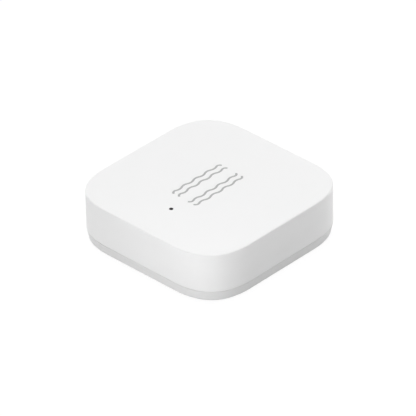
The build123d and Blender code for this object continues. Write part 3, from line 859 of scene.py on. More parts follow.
def node_finish(node):
    """Material of a CAD node that shows as it is."""
    slot = SLOTS[node]
    tint = COLOURS[slot]
    label = node.replace("_", " ")
    if slot in OWN_FINISHES:
        return OWN_FINISHES[slot]()
    if slot in METALS:
        return metal(label, tint, *METALS[slot])
    if slot == "cradle_plastic":
        return filled_plastic(label, tint)
    if slot == "chip_epoxy":
        return chip_body(node)
    if node in TINNED:
        return tinned_ends(node, slot, *TINNED[node])
    return plain_moulding(label, tint)


class Recipe(Graph):
    """Geometry Nodes group with named inputs for its sizes."""

    KINDS = {
        float: "NodeSocketFloat",
        int: "NodeSocketInt",
        bpy.types.Material: "NodeSocketMaterial",
    }

    def __init__(self, name, values):
        tree = bpy.data.node_groups.new(name, "GeometryNodeTree")
        super().__init__(tree)
        face = tree.interface
        face.new_socket("Geometry", in_out="INPUT", socket_type="NodeSocketGeometry")
        for label, value in values.items():
            face.new_socket(label, in_out="INPUT", socket_type=self.KINDS[type(value)])
        face.new_socket("Geometry", in_out="OUTPUT", socket_type="NodeSocketGeometry")
        self.values = values
        outputs = self.node("NodeGroupInput").outputs
        self.inputs = {output.name: Socket(self, output) for output in outputs if output.name}

    def step(self, kind, sockets=None, settings=None):
        """Adds a Geometry node, named without its first words, and gives its first output."""
        return self.out("GeometryNode" + kind, sockets, settings)

    def together(self, shapes):
        """Adds a node that joins shapes, in their order."""
        join = self.node("GeometryNodeJoinGeometry")
        for shape in shapes:
            self.tree.links.new(shape.output, join.inputs[0])
        return Socket(self, join.outputs[0])

    def close(self, shape):
        """Ends the group with real meshes in their material."""
        real = self.step("RealizeInstances", {"Geometry": shape})
        sockets = {"Geometry": real, "Material": self.inputs["Material"]}
        self.node("NodeGroupOutput", {0: self.step("SetMaterial", sockets)})

    def run(self, host):
        """Runs the group on the host object and leaves its result as the host's mesh."""
        modifier = host.modifiers.new(self.tree.name, "NODES")
        modifier.node_group = self.tree
        for item in self.tree.interface.items_tree:
            if item.in_out == "INPUT" and item.name in self.values:
                modifier[item.identifier] = self.values[item.name]
        host.update_tag()
        settled(host)


def right_of(heading):
    """Direction to the right of a heading."""
    return Vector((sin(heading), -cos(heading)))


def stroke_outline():
    """Outline of one wavy stroke about its middle, walked along arcs that join in tangent."""
    sizes = bpy.context.scene.sensor_marks
    bend = 2 * atan(2 * sizes.swing / sizes.bend_length)
    bend_radius = sizes.bend_length / 2 / sin(bend)
    hook = (sizes.hook_radius, bend + sizes.hook_turn)
    bends = [(bend_radius, 2 * bend * (1 if step % 2 else -1)) for step in range(sizes.bends)]
    arcs = [hook, *bends, hook]
    heading = pi / 2 - sizes.hook_turn
    place = Vector((0, 0))
    line = []
    for arc_index, (radius, turn) in enumerate(arcs):
        side = 1 if turn > 0 else -1
        steps = ceil(abs(turn) / ARC_STEP)
        centre = place - side * radius * right_of(heading)
        for step in range(steps + (arc_index == len(arcs) - 1)):
            angle = heading + turn * step / steps
            line.append((centre + side * radius * right_of(angle), angle))
        heading += turn
        place = centre + side * radius * right_of(heading)
        if arc_index == 0:
            middle = place + Vector((0, sizes.bends * sizes.bend_length / 2))
    half = sizes.width / 2
    outline = [at + half * right_of(angle) for at, angle in line]
    left = [at - half * right_of(angle) for at, angle in line]
    for (at, angle), side in ((line[-1], 1), (line[0], -1)):
        for step in range(1, END_STEPS):
            turn = angle - side * pi / 2 + pi * step / END_STEPS
            outline.append(at + half * Vector((cos(turn), sin(turn))))
        if side == 1:
            outline += reversed(left)
    middle.y += sizes.slide
    return [point - middle for point in outline]


def mark_recipe(name, height, material):
    """Four strokes in two mirrored pairs, each filled and raised to the given height."""
    sizes = bpy.context.scene.sensor_marks
    values = {
        "Height": height,
        "Spacing": sizes.spacing,
        "Pair Spacing": sizes.pair_spacing,
        "Material": material,
    }
    recipe = Recipe(name, values)
    line = recipe.step("MeshToCurve", {"Mesh": recipe.inputs["Geometry"]})
    face = recipe.step("FillCurve", {"Curve": line}, {"mode": "NGONS"})
    up = recipe.joined(0.0, 0.0, 1.0)
    sockets = {"Mesh": face, "Offset": up, "Offset Scale": recipe.inputs["Height"]}
    sockets["Individual"] = False
    raised = recipe.step("ExtrudeMesh", sockets, {"mode": "FACES"})
    under = recipe.step("FlipFaces", {"Mesh": face})
    sockets = {"Geometry": recipe.together([raised, under]), "Distance": HOLD / 20}
    stroke = recipe.step("MergeByDistance", sockets)
    index = recipe.step("InputIndex")
    for spacing, turn in (("Spacing", 0.0), ("Pair Spacing", pi)):
        place = recipe.joined((index - 0.5) * recipe.inputs[spacing], 0.0, 0.0)
        points = recipe.step("Points", {"Count": 2, "Position": place})
        rotation = recipe.joined(0.0, 0.0, (1 - index) * turn)
        sockets = {"Points": points, "Instance": stroke, "Rotation": rotation}
        stroke = recipe.step("InstanceOnPoints", sockets)
    recipe.close(stroke)
    return recipe


def wavy_strokes(name, level, height, material):
    """Object with the four strokes, standing on the given level."""
    middle = (MARKS_LOW + MARKS_HIGH) / 2
    outline = stroke_outline()
    mesh = bpy.data.meshes.new(name)
    count = len(outline)
    edges = [(index, (index + 1) % count) for index in range(count)]
    mesh.from_pydata([(*point, 0) for point in outline], edges, [])
    made = placed(name, mesh)
    mark_recipe(name, height, material).run(made)
    made.data.transform(Matrix.Translation((middle.x, middle.y, level)))
    return made


class SENSOR_OT_case(bpy.types.Operator):
    """Adds the white case with its posts, snap ridges, pinhole and grooves"""

    bl_idname = "sensor_tag.add_case"
    bl_label = "Add Case"

    # The cutter for a groove is this many times as tall as the groove is deep
    GROOVE_CUT = 3

    def execute(self, context):
        sizes = context.scene.sensor_case
        marks = context.scene.sensor_marks
        roof_bottom = SHELL_HIGH.z - sizes.roof
        profile = rounded(
            [
                (sizes.top_edge + CAP_MARGIN, SHELL_HIGH.z),
                (0, SHELL_HIGH.z, sizes.top_edge),
                (0, SHELL_LOW.z, sizes.lower_edge),
                (sizes.wall - sizes.lead, SHELL_LOW.z),
                (sizes.wall, SHELL_LOW.z + sizes.lead),
                (sizes.wall, roof_bottom, sizes.inner_edge),
                (sizes.wall + sizes.inner_edge + CAP_MARGIN, roof_bottom),
            ]
        )
        made = object_of("case_shell", [square_sweep(profile)])
        combine(made, self.posts(sizes, roof_bottom), "UNION")
        combine(made, self.ridges(sizes), "UNION")
        combine(made, [self.pinhole(sizes, roof_bottom)], "DIFFERENCE")
        material = case_finish()
        cut = self.GROOVE_CUT * marks.depth
        groove = wavy_strokes("grooves", SHELL_HIGH.z - marks.depth, cut, material)
        combine(made, groove, "DIFFERENCE")
        finish_piece(made, ["top_shell"], material)
        return {"FINISHED"}

    def posts(self, sizes, roof_bottom):
        """Posts under the roof, each with its pin and its staked head."""
        head_top = BOARD_LOW.z - sizes.ear
        head_bottom = head_top - sizes.head_height
        profile = rounded(
            [
                (0, roof_bottom + OVERLAP),
                (sizes.post, roof_bottom + OVERLAP),
                (sizes.post, BOARD_HIGH.z),
                (sizes.pin, BOARD_HIGH.z),
                (sizes.pin, head_top),
                (sizes.head, head_top),
                (sizes.head, head_bottom, sizes.head_edge),
                (0, head_bottom),
            ]
        )
        return in_each_corner(profile, (CRADLE_HIGH.y + sizes.head_gap + sizes.head) / sqrt(2))

    def ridges(self, sizes):
        """Snap ridges inside the four walls."""
        inner = HALF_WIDTH - sizes.wall
        top, proud = sizes.ridge_top, sizes.ridge_proud
        bottom = top - sizes.ridge_height
        outline = [
            (inner + OVERLAP, bottom),
            (inner, bottom),
            (inner - proud, bottom + proud),
            (inner - proud, top - proud),
            (inner, top),
            (inner + OVERLAP, top),
        ]
        return on_each_side(outline, sizes.ridge_width)

    def pinhole(self, sizes, roof_bottom):
        """Hole over the switch's stem, with a softened rim."""
        middle = (STEM_LOW + STEM_HIGH) / 2
        edge = sizes.pinhole_edge
        top = SHELL_HIGH.z
        rim = [
            (sizes.pinhole + edge * (1 - sin(angle)), top - edge * (1 - cos(angle)))
            for angle in [step * pi / 8 for step in range(5)]
        ]
        profile = [(0, top + OVERLAP), (sizes.pinhole + edge, top + OVERLAP), *rim]
        profile += [(sizes.pinhole, roof_bottom - OVERLAP), (0, roof_bottom - OVERLAP)]
        return turned(profile, (middle.x, middle.y), SMALL_ROUND_STEPS)


class SENSOR_OT_marks(bpy.types.Operator):
    """Adds the ink of the four wavy marks in their grooves"""

    bl_idname = "sensor_tag.add_marks"
    bl_label = "Add Wavy Marks"

    def execute(self, context):
        sizes = context.scene.sensor_marks
        material = printed_ink()
        height = sizes.depth - sizes.sunk
        made = wavy_strokes("mark_strokes", SHELL_HIGH.z - sizes.depth, height, material)
        finish_piece(made, ["wave_marks"], material)
        return {"FINISHED"}


class SENSOR_OT_base(bpy.types.Operator):
    """Adds the grey base cover with its rim, snap tabs, rest ring and prising notch"""

    bl_idname = "sensor_tag.add_base"
    bl_label = "Add Base Cover"

    def execute(self, context):
        sizes = context.scene.sensor_base
        band_top = BASE_LOW.z + sizes.band
        floor_top = BASE_LOW.z + sizes.floor
        rim_top = band_top + sizes.rim_height
        pocket = HALF_WIDTH - PAD_HIGH.x - sizes.pad_clearance
        rim_inner = sizes.rim_inset + sizes.rim
        soft = sizes.soft_edge
        profile = rounded(
            [
                (pocket + CAP_MARGIN, PAD_HIGH.z),
                (pocket, PAD_HIGH.z),
                (pocket, BASE_LOW.z, soft),
                (sizes.taper, BASE_LOW.z, sizes.lower_edge),
                (0, band_top, soft),
                (sizes.rim_inset, band_top),
                (sizes.rim_inset, rim_top, soft),
                (rim_inner, rim_top, soft),
                (rim_inner, floor_top),
                (rim_inner + CAP_MARGIN, floor_top),
            ]
        )
        made = object_of("base_shell", [square_sweep(profile)])
        combine(made, self.tabs(sizes, floor_top), "UNION")
        combine(made, [self.rest(sizes, floor_top)], "UNION")
        combine(made, [self.notch(sizes, band_top)], "DIFFERENCE")
        combine(made, self.ejector_marks(sizes, floor_top), "DIFFERENCE")
        finish_piece(made, ["base_cover"], base_finish())
        return {"FINISHED"}

    def tabs(self, sizes, floor_top):
        """Snap tabs on the rim's four sides, each with its bead."""
        outer = HALF_WIDTH - sizes.rim_inset
        inner = outer - sizes.rim
        top = BASE_HIGH.z
        bead_top = top - sizes.bead_drop
        bead_bottom = bead_top - sizes.bead_height
        outline = [
            (inner, floor_top - OVERLAP),
            (outer, floor_top - OVERLAP),
            (outer, bead_bottom),
            (outer + sizes.bead, bead_bottom + sizes.bead),
            (outer + sizes.bead, bead_top - sizes.bead),
            (outer, bead_top),
            (outer, top - sizes.tab_lead),
            (outer - sizes.tab_lead, top),
            (inner, top),
        ]
        return on_each_side(outline, sizes.tab_width)

    def rest(self, sizes, floor_top):
        """Low ring that the coin cell rests on."""
        outer = sizes.rest_radius + sizes.rest_width / 2
        inner = sizes.rest_radius - sizes.rest_width / 2
        top = floor_top + sizes.rest_height
        corners = [
            (outer, floor_top - OVERLAP),
            (outer, top, sizes.soft_edge / 2),
            (inner, top, sizes.soft_edge / 2),
            (inner, floor_top - OVERLAP),
        ]
        return turned(rounded(corners))

    def notch(self, sizes, band_top):
        """Notch in the side away from the pinhole, for a nail or a coin."""
        half = sizes.notch_width / 2
        outline = rounded(
            [
                (-half, OVERLAP),
                (-half, -sizes.notch_height, sizes.notch_edge),
                (half, -sizes.notch_height, sizes.notch_edge),
                (half, OVERLAP),
            ]
        )
        start = Vector((0, HALF_WIDTH - sizes.notch_depth, band_top))
        span = Vector((0, 2 * sizes.notch_depth, 0))
        return prism(outline, start, Vector((1, 0, 0)), UP, span)

    def ejector_marks(self, sizes, floor_top):
        """Round marks that the mould's pins leave in the floor, inside the rest ring."""
        bottom = floor_top - sizes.ejector_depth
        top = floor_top + OVERLAP
        profile = [(0, bottom), (sizes.ejector, bottom), (sizes.ejector, top), (0, top)]
        return in_each_corner(profile, (sizes.rest_radius - sizes.rest_width) / 2)


class SENSOR_OT_pad(bpy.types.Operator):
    """Adds the foam tape under the base"""

    bl_idname = "sensor_tag.add_pad"
    bl_label = "Add Adhesive Pad"

    # The pad is this many times as thick as the rounding of its edges
    EDGE_PART = 5

    def execute(self, context):
        inset = HALF_WIDTH - PAD_HIGH.x
        edge = (PAD_HIGH.z - PAD_LOW.z) / self.EDGE_PART
        profile = rounded(
            [
                (inset + CAP_MARGIN, PAD_LOW.z),
                (inset, PAD_LOW.z, edge),
                (inset, PAD_HIGH.z, edge),
                (inset + CAP_MARGIN, PAD_HIGH.z),
            ]
        )
        made = object_of("foam_pad", [square_sweep(profile)])
        finish_piece(made, ["adhesive_pad"], foam_tape())
        return {"FINISHED"}


class SENSOR_OT_cell(bpy.types.Operator):
    """Adds the coin cell's can, gasket, cap and separator"""

    bl_idname = "sensor_tag.add_cell"
    bl_label = "Add Coin Cell"

    # Corner radii from the can's edge to its pressed ring, and sheet thicknesses from the cap's
    # shoulder to its land
    RING_INSET = 2.5
    LAND_INSET = 3

    # Ripples from the separator's rim to its middle, the steps they are drawn with, and how many
    # times their half height goes into its thickness
    RIPPLES = 10
    RIPPLE_STEPS = 80
    RIPPLE_PART = 8

    def execute(self, context):
        sizes = context.scene.sensor_cell
        steel = COLOURS["cell_steel"]
        can = object_of("can_shell", [turned(self.can_profile(sizes))])
        combine(can, self.plus_sign(sizes), "DIFFERENCE")
        finish_piece(can, ["cell_can"], metal("cell can", steel, 0.2, "ROUND"))
        cap = object_of("cap_shell", [turned(self.cap_profile(sizes))])
        finish_piece(cap, ["cell_cap"], metal("cell cap", steel, 0.32, "ROUND", 0.05 * MM))
        gasket = object_of("gasket_ring", [turned(self.gasket_profile(sizes))])
        finish_piece(gasket, ["cell_seal"], plain_moulding("gasket", COLOURS["seal_plastic"], 0.35))
        sheet = object_of("separator_sheet", [turned(self.separator_profile())])
        finish_piece(sheet, ["cell_separator"], unwoven_sheet())
        return {"FINISHED"}

    def can_profile(self, sizes):
        """Profile of the can, with a pressed ring in its face."""
        bottom, top, outer = CAN_LOW.z, CAN_HIGH.z, CAN_HIGH.x
        ring_outer = outer - self.RING_INSET * sizes.corner
        ring_inner = ring_outer - sizes.corner
        return rounded(
            [
                (0, bottom),
                (ring_inner, bottom),
                (ring_inner + sizes.ring_depth, bottom + sizes.ring_depth),
                (ring_outer - sizes.ring_depth, bottom + sizes.ring_depth),
                (ring_outer, bottom),
                (outer, bottom, sizes.corner),
                (outer, top, sizes.crimp),
                (outer - sizes.lip, top, sizes.wall / 4),
                (outer - sizes.lip, top - sizes.wall, sizes.wall / 4),
                (outer - sizes.wall, top - sizes.wall),
                (outer - sizes.wall, bottom + sizes.wall, sizes.wall / 2),
                (0, bottom + sizes.wall),
            ]
        )

    def cap_profile(self, sizes):
        """Profile of the cap, with a raised land and its folded rim under the gasket."""
        top = CAP_HIGH.z
        shoulder = CAN_HIGH.x - sizes.lip - sizes.gasket_show - sizes.fit
        rim = CAP_HIGH.x
        flange_top = SEAL_HIGH.z - sizes.gasket_lip - sizes.fit
        flange_bottom = flange_top - sizes.wall
        land = shoulder - self.LAND_INSET * sizes.wall
        return rounded(
            [
                (0, top - sizes.ring_depth),
                (land - sizes.ring_depth, top - sizes.ring_depth),
                (land, top),
                (shoulder, top, sizes.crimp),
                (shoulder, flange_top, sizes.wall / 4),
                (rim, flange_top, sizes.wall / 3),
                (rim, CAP_LOW.z),
                (rim - sizes.wall, CAP_LOW.z),
                (rim - sizes.wall, flange_bottom),
                (shoulder - sizes.wall, flange_bottom),
                (shoulder - sizes.wall, top - sizes.wall, sizes.wall / 3),
                (0, top - sizes.wall),
            ]
        )

    def gasket_profile(self, sizes):
        """Profile of the gasket, whose rounded lip shows between can and cap."""
        outer = SEAL_HIGH.x
        channel = outer - sizes.gasket
        lip_inner = CAN_HIGH.x - sizes.lip - sizes.gasket_show
        foot_inner = CAP_HIGH.x - sizes.wall
        low, high = SEAL_LOW.z, SEAL_HIGH.z
        corners = [
            (outer, low),
            (outer, high),
            (lip_inner, high, sizes.gasket_lip / 3),
            (lip_inner, high - sizes.gasket_lip, sizes.gasket_lip / 3),
            (channel, high - sizes.gasket_lip),
            (channel, low + sizes.gasket_lip),
            (foot_inner, low + sizes.gasket_lip),
            (foot_inner, low),
        ]
        return rounded(corners)

    def separator_profile(self):
        """Profile of the separator: a thin disc with a slight ripple in its upper face."""
        low, high, reach = SEPARATOR_LOW.z, SEPARATOR_HIGH.z, SEPARATOR_HIGH.x
        ripple = (high - low) / self.RIPPLE_PART
        upper = []
        for step in range(self.RIPPLE_STEPS + 1):
            share = step / self.RIPPLE_STEPS
            dip = ripple * (1 - cos(2 * pi * self.RIPPLES * share))
            upper.append((reach * (1 - share), high - dip))
        return [(0, low), (reach, low), *upper]

    def plus_sign(self, sizes):
        """Shallow plus in the can's face."""
        start = Vector((0, 0, CAN_LOW.z - OVERLAP))
        depth = Vector((0, 0, sizes.ring_depth + OVERLAP))
        solids = []
        for wide, tall in ((sizes.cross, sizes.cross_width), (sizes.cross_width, sizes.cross)):
            outline = [(x * wide / 2, y * tall / 2) for x, y in SQUARE]
            solids.append(prism(outline, start, Vector((1, 0, 0)), Vector((0, 1, 0)), depth))
        plus = object_of("plus", solids[:1])
        combine(plus, solids[1:], "UNION")
        return plus


class SENSOR_OT_board_copper(bpy.types.Operator):
    """Adds plated holes and test pads to the board's lower face"""

    bl_idname = "sensor_tag.add_board_copper"
    bl_label = "Add Board Copper"

    # Bare board round the contact's hub, and inside the cradle's reach
    HUB = 3.2 * MM
    BORDER = 1.6 * MM

    # Steps round the disc that is scattered over and round a plated hole, tries in each square
    # metre, and the seed of the scattering
    DISC_STEPS = 64
    RING_STEPS = 20
    TRIES = 4e6
    SEED = 7

    # Test pads in the row. In a pad's radii: from one pad to the next, from the row to the
    # cradle's reach, and from the row to the nearest plated holes
    PADS = 4
    PAD_PITCH = 3
    PAD_INSET = 6
    PAD_ROOM = 2.5

    def execute(self, context):
        sizes = context.scene.sensor_board
        gold = metal("plated copper", COLOURS["copper_trace"], 0.25, "X", 0.06 * MM, 0.5 * MM)
        host = object_of("board_vias", [bmesh.new()])
        self.via_recipe(sizes, gold).run(host)
        finish_piece(host, [], gold, "case")
        pads = object_of("test_pads", self.test_pads(sizes))
        finish_piece(pads, [], gold, "case")
        return {"FINISHED"}

    def via_recipe(self, sizes, material):
        """Rings scattered over the face between the contact's hub and the cradle."""
        values = {
            "Reach": CRADLE_HIGH.y - self.BORDER,
            "Hub": self.HUB,
            "Spacing": sizes.via_spacing,
            "Ring Radius": sizes.via,
            "Hole Radius": sizes.via_hole,
            "Thickness": sizes.copper,
            "Front Limit": self.pad_reach(sizes) - self.PAD_ROOM * sizes.test_pad,
            "Seed": self.SEED,
            "Material": material,
        }
        recipe = Recipe("board vias", values)
        inputs = recipe.inputs
        sockets = {"Vertices": self.DISC_STEPS, "Radius": inputs["Reach"]}
        disc = recipe.step("MeshCircle", sockets, {"fill_type": "NGON"})
        sockets = {
            "Mesh": disc,
            "Distance Min": inputs["Spacing"],
            "Density Max": self.TRIES,
            "Seed": inputs["Seed"],
        }
        settings = {"distribute_method": "POISSON"}
        points = recipe.step("DistributePointsOnFaces", sockets, settings)
        place = recipe.step("InputPosition")
        away = recipe.out("ShaderNodeVectorMath", {0: place}, {"operation": "LENGTH"}, "Value")
        front = recipe.split(place)[1] < inputs["Front Limit"] * -1
        taken = recipe.largest(away < inputs["Hub"], front)
        sockets = {"Geometry": points, "Selection": taken}
        points = recipe.step("DeleteGeometry", sockets, {"domain": "POINT"})
        sockets = {"Geometry": points, "Offset": recipe.joined(0.0, 0.0, BOARD_LOW.z)}
        points = recipe.step("SetPosition", sockets)
        outer, inner = inputs["Ring Radius"], inputs["Hole Radius"]
        sockets = {"Resolution": self.RING_STEPS, "Radius": (outer + inner) / 2}
        circle = recipe.step("CurvePrimitiveCircle", sockets)
        sockets = {"Width": outer - inner, "Height": inputs["Thickness"]}
        band = recipe.step("CurvePrimitiveQuadrilateral", sockets)
        sockets = {"Curve": circle, "Profile Curve": band}
        ring = recipe.step("CurveToMesh", sockets)
        shift = recipe.joined(0.0, 0.0, inputs["Thickness"] / -2)
        sockets = {"Geometry": ring, "Translation": shift}
        ring = recipe.step("Transform", sockets)
        sockets = {"Points": points, "Instance": ring}
        recipe.close(recipe.step("InstanceOnPoints", sockets))
        return recipe

    def pad_reach(self, sizes):
        """Distance from the middle to the row of test pads."""
        return CRADLE_HIGH.y - self.PAD_INSET * sizes.test_pad

    def test_pads(self, sizes):
        """Row of round test pads beside the contact's hub."""
        top = BOARD_LOW.z
        bottom = top - sizes.copper
        profile = [(0, top), (sizes.test_pad, top), (sizes.test_pad, bottom), (0, bottom)]
        pitch = self.PAD_PITCH * sizes.test_pad
        first = -pitch * (self.PADS - 1) / 2
        row = -self.pad_reach(sizes)
        places = [(first + step * pitch, row) for step in range(self.PADS)]
        return [turned(profile, place, SMALL_ROUND_STEPS) for place in places]


class SENSOR_OT_solder(bpy.types.Operator):
    """Adds the solder along the chips' and the crystals' sides"""

    bl_idname = "sensor_tag.add_solder"
    bl_label = "Add Solder"

    # Share of its height by which the solder falls off away from the chip
    FALL = 0.75

    # Leads on each side that runs along X, and on each that runs along Y
    LEADS = {
        "radio_chip": (11, 11),
        "accelerometer_chip": (3, 4),
        "memory_chip": (0, 4),
        "main_crystal": (0, 2),
        "clock_crystal": (0, 1),
    }

    def execute(self, context):
        sizes = context.scene.sensor_board
        material = solder()
        host = object_of("chip_solder", [bmesh.new()])
        self.recipe(sizes, material).run(host)
        finish_piece(host, [], material, "case")
        return {"FINISHED"}

    def recipe(self, sizes, material):
        """Rows of solder wedges along the chips' sides."""
        values = {
            "Lead Width": sizes.lead_width,
            "Lead Reach": sizes.lead_reach,
            "Lead Height": sizes.lead_height,
            "Material": material,
        }
        recipe = Recipe("chip solder", values)
        inputs = recipe.inputs
        lead = [inputs["Lead " + side] for side in ("Reach", "Width", "Height")]
        block = recipe.step("MeshCube", {"Size": recipe.joined(*lead)})
        shift = recipe.joined(inputs["Lead Reach"] / 2, 0.0, inputs["Lead Height"] / 2)
        block = recipe.step("Transform", {"Geometry": block, "Translation": shift})
        across, _, up = recipe.split(recipe.step("InputPosition"))
        outer = across > inputs["Lead Reach"] / 2
        drop = recipe.joined(0.0, 0.0, up * outer * -self.FALL)
        wedge = recipe.step("SetPosition", {"Geometry": block, "Offset": drop})
        rows = []
        for node, (along_x, along_y) in self.LEADS.items():
            low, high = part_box(node)
            middle = (low + high) / 2
            half = (high - low) / 2
            for turn in range(4):
                on_y_side = turn % 2
                count = along_x if on_y_side else along_y
                if count == 0:
                    continue
                reach, span = (half.y, half.x) if on_y_side else (half.x, half.y)
                spin = Matrix.Rotation(turn * pi / 2, 3, "Z")
                along = spin @ Vector((0, 1, 0))
                edge = Vector((middle.x, middle.y, BOARD_HIGH.z)) + spin @ Vector((reach, 0, 0))
                pitch = 2 * span / (count + 1)
                start = edge - along * pitch * (count - 1) / 2
                settings = {"mode": "OFFSET"}
                sockets = {"Count": count, "Start Location": start, "Offset": along * pitch}
                line = recipe.step("MeshLine", sockets, settings)
                rotation = (0.0, 0.0, turn * pi / 2)
                sockets = {"Points": line, "Instance": wedge, "Rotation": rotation}
                rows.append(recipe.step("InstanceOnPoints", sockets))
        recipe.close(recipe.together(rows))
        return recipe


class SENSOR_OT_dome(bpy.types.Operator):
    """Adds the reset switch's snap dome, drawn unpressed; the real one flattens under the plunger
    """

    bl_idname = "sensor_tag.add_dome"
    bl_label = "Add Snap Dome"

    ARC_POINTS = 14

    def execute(self, context):
        thickness = context.scene.sensor_board.dome
        low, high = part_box("switch_dome")
        middle = (low + high) / 2
        reach, rise = high.x - middle.x, high.z - low.z
        outer = self.arc(reach, rise, low.z)
        inner = self.arc(reach - thickness, rise - thickness, low.z)
        profile = [*outer, *reversed(inner)]
        made = object_of("snap_dome", [turned(profile, middle.xy, SMALL_ROUND_STEPS)])
        foot, crown = Vector((*middle.xy, low.z)), Vector((*middle.xy, high.z))
        bend = (BODIES["switch_dome"], BODIES["switch_plunger"], foot, crown)
        slot = SLOTS["switch_dome"]
        finish_piece(made, ["switch_dome"], metal("snap dome", COLOURS[slot], 0.24, "X"), bend=bend)
        return {"FINISHED"}

    def arc(self, reach, rise, low):
        """Points down one side of a low dome, given as (radius, level)."""
        radius = (reach**2 + rise**2) / (2 * rise)
        half_turn = asin(reach / radius)
        points = []
        for step in range(self.ARC_POINTS + 1):
            angle = half_turn * step / self.ARC_POINTS
            points.append((radius * sin(angle), low + rise - radius * (1 - cos(angle))))
        return points


class SENSOR_OT_inner_parts(bpy.types.Operator):
    """Gives the engineering model's own pieces their finishes"""

    bl_idname = "sensor_tag.finish_inner_parts"
    bl_label = "Finish Inner Parts"

    def execute(self, context):
        for name, node in frame["nodes"].items():
            if not node.hide_render:
                node.data.materials.clear()
                node.data.materials.append(node_finish(name))
        return {"FINISHED"}


def direction(azimuth, elevation):
    """Direction to a point seen that far round from the -Y side and that high."""
    flat = cos(elevation)
    return Vector((sin(azimuth) * flat, -cos(azimuth) * flat, sin(elevation)))


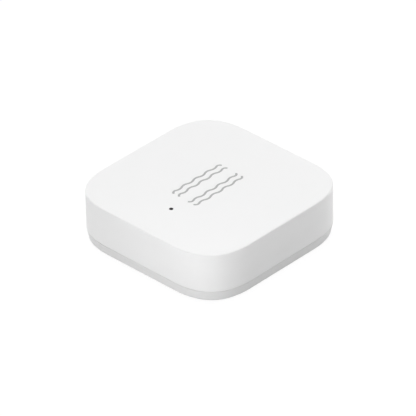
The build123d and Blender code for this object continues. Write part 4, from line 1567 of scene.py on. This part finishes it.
class SENSOR_OT_stage(bpy.types.Operator):
    """Sets up the floor, the sky, the lamps and the camera"""

    bl_idname = "sensor_tag.set_stage"
    bl_label = "Set Stage"

    # Lamps: azimuth and elevation in degrees, distance and size in metres, strength in watts
    LAMPS = {
        "overhead": (0, 89, 0.6, 0.3, 1.26),
        "left": (-90, 12, 0.6, 0.3, 1.2),
        "rear": (180, 12, 0.6, 0.3, 0.32),
        "rear left": (-135, 35, 0.6, 0.3, 0.95),
        "near front": (22, 8, 0.075, 0.05, 0.0214),
        "near corner": (44, 35, 0.05, 0.03, 0.00115),
        "near rear": (150, 8, 0.05, 0.03, 0.0054),
    }

    # Half the floor's width in metres, its paleness under light, its white as the camera sees it,
    # and the share of that white which takes no shadow
    FLOOR_HALF = 3.0
    FLOOR_PALE = 0.85
    FLOOR_GLOW = 1.05
    FLOOR_SHARE = 0.9

    # Light that starts closer to the floor than this passes it, so the underside can be seen
    FLOOR_REACH = 0.3 * MM

    # Nearest and farthest that the camera sees, in metres
    SIGHT = (0.01, 10)

    def execute(self, context):
        stage = context.scene.sensor_stage
        context.scene.view_settings.view_transform = "Standard"
        self.floor()
        self.sky(stage)
        for name, values in self.LAMPS.items():
            self.lamp(name, *values)
        self.camera(stage)
        return {"FINISHED"}

    def floor(self):
        """Wide pale floor just under the adhesive face, clear when it is seen from below."""
        corners = [(x * self.FLOOR_HALF, y * self.FLOOR_HALF, -HOLD / 2) for x, y in SQUARE]
        mesh = bpy.data.meshes.new("floor")
        mesh.from_pydata(corners, [], [(0, 1, 2, 3)])
        floor = placed("floor", mesh)
        graph = Finish("floor")
        path = graph.node("ShaderNodeLightPath")
        white = {"Color": (1, 1, 1, 1), "Strength": self.FLOOR_GLOW}
        white = graph.out("ShaderNodeEmission", white)
        matt = graph.out("ShaderNodeBsdfDiffuse", {"Color": (*[self.FLOOR_PALE] * 3, 1)})
        sockets = {0: graph.in_sight(path) * self.FLOOR_SHARE, 1: matt, 2: white}
        mixed = graph.out("ShaderNodeMixShader", sockets)
        short = Socket(graph, path.outputs["Ray Length"]) < self.FLOOR_REACH
        diffuse = Socket(graph, path.outputs["Is Diffuse Ray"])
        below = graph.out("ShaderNodeNewGeometry", output="Backfacing")
        clear = graph.largest(below, short * diffuse)
        nothing = graph.out("ShaderNodeBsdfTransparent")
        mixed = graph.out("ShaderNodeMixShader", {0: clear, 1: mixed, 2: nothing})
        graph.node("ShaderNodeOutputMaterial", {"Surface": mixed})
        mesh.materials.append(graph.material)

    def sky(self, stage):
        """Even light from all round, and plain white where the sky itself is seen."""
        world = bpy.data.worlds.new("sky")
        world.use_nodes = True
        bpy.context.scene.world = world
        graph = Graph(world.node_tree)
        graph.tree.nodes.clear()
        seen = graph.in_sight(graph.node("ShaderNodeLightPath"))
        strength = seen + (1 - seen) * stage.sky
        sockets = {"Color": (1, 1, 1, 1), "Strength": strength}
        background = graph.out("ShaderNodeBackground", sockets)
        graph.node("ShaderNodeOutputWorld", {"Surface": background})

    def lamp(self, name, azimuth, elevation, distance, size, strength):
        """Square soft lamp aimed at the tag."""
        data = bpy.data.lights.new(name, "AREA")
        data.size = size
        data.energy = strength
        lamp = placed(name, data)
        lamp.visible_camera = False
        back = direction(radians(azimuth), radians(elevation))
        lamp.location = back * distance
        lamp.rotation_mode = "QUATERNION"
        lamp.rotation_quaternion = back.to_track_quat("Z", "Y")

    def camera(self, stage):
        """Camera at the photograph's viewing angle."""
        data = bpy.data.cameras.new("camera")
        data.lens = stage.lens
        data.clip_start, data.clip_end = self.SIGHT
        camera = placed("camera", data)
        back = direction(stage.azimuth, stage.elevation)
        right = Vector((cos(stage.azimuth), sin(stage.azimuth), 0))
        up = back.cross(right)
        roll = Matrix.Rotation(stage.roll, 3, back)
        right, up = roll @ right, roll @ up
        place = back * stage.distance + right * stage.across + up * stage.upwards
        place.z += BASE_LOW.z
        turned_axes = Matrix((right, up, back)).transposed().to_4x4()
        camera.matrix_world = Matrix.Translation(place) @ turned_axes
        bpy.context.scene.camera = camera


STEPS = (
    SENSOR_OT_case,
    SENSOR_OT_marks,
    SENSOR_OT_base,
    SENSOR_OT_pad,
    SENSOR_OT_cell,
    SENSOR_OT_board_copper,
    SENSOR_OT_solder,
    SENSOR_OT_dome,
    SENSOR_OT_inner_parts,
    SENSOR_OT_stage,
)

SETTINGS = {
    "sensor_outline": OutlineSettings,
    "sensor_case": CaseSettings,
    "sensor_marks": MarkSettings,
    "sensor_base": BaseSettings,
    "sensor_cell": CellSettings,
    "sensor_board": BoardSettings,
    "sensor_stage": StageSettings,
}


class SENSOR_PT_panel(bpy.types.Panel):
    """Lists the steps that build the tag, and the sizes that they use"""

    bl_idname = "SENSOR_PT_panel"
    bl_label = "Vibration Sensor Tag"
    bl_space_type = "VIEW_3D"
    bl_region_type = "UI"
    bl_category = "Sensor Tag"

    def draw(self, context):
        for step in STEPS:
            self.layout.operator(step.bl_idname)
        for name in SETTINGS:
            group = getattr(context.scene, name)
            box = self.layout.box()
            box.label(text=name.replace("sensor_", "").title())
            for setting in group.bl_rna.properties:
                if setting.identifier not in ("rna_type", "name"):
                    box.prop(group, setting.identifier)


def register():
    """Registers the settings, the steps and the panel."""
    for name, group in SETTINGS.items():
        bpy.utils.register_class(group)
        setattr(bpy.types.Scene, name, PointerProperty(type=group))
    for step in (*STEPS, SENSOR_PT_panel):
        bpy.utils.register_class(step)


def unregister():
    """Takes the panel, the steps and the settings out again."""
    for step in reversed((*STEPS, SENSOR_PT_panel)):
        bpy.utils.unregister_class(step)
    for name, group in SETTINGS.items():
        delattr(bpy.types.Scene, name)
        bpy.utils.unregister_class(group)


def main():
    """Builds the whole tag."""
    register()
    for step in STEPS:
        category, name = step.bl_idname.split(".")
        getattr(getattr(bpy.ops, category), name)()


if __name__ == "__main__":
    main()
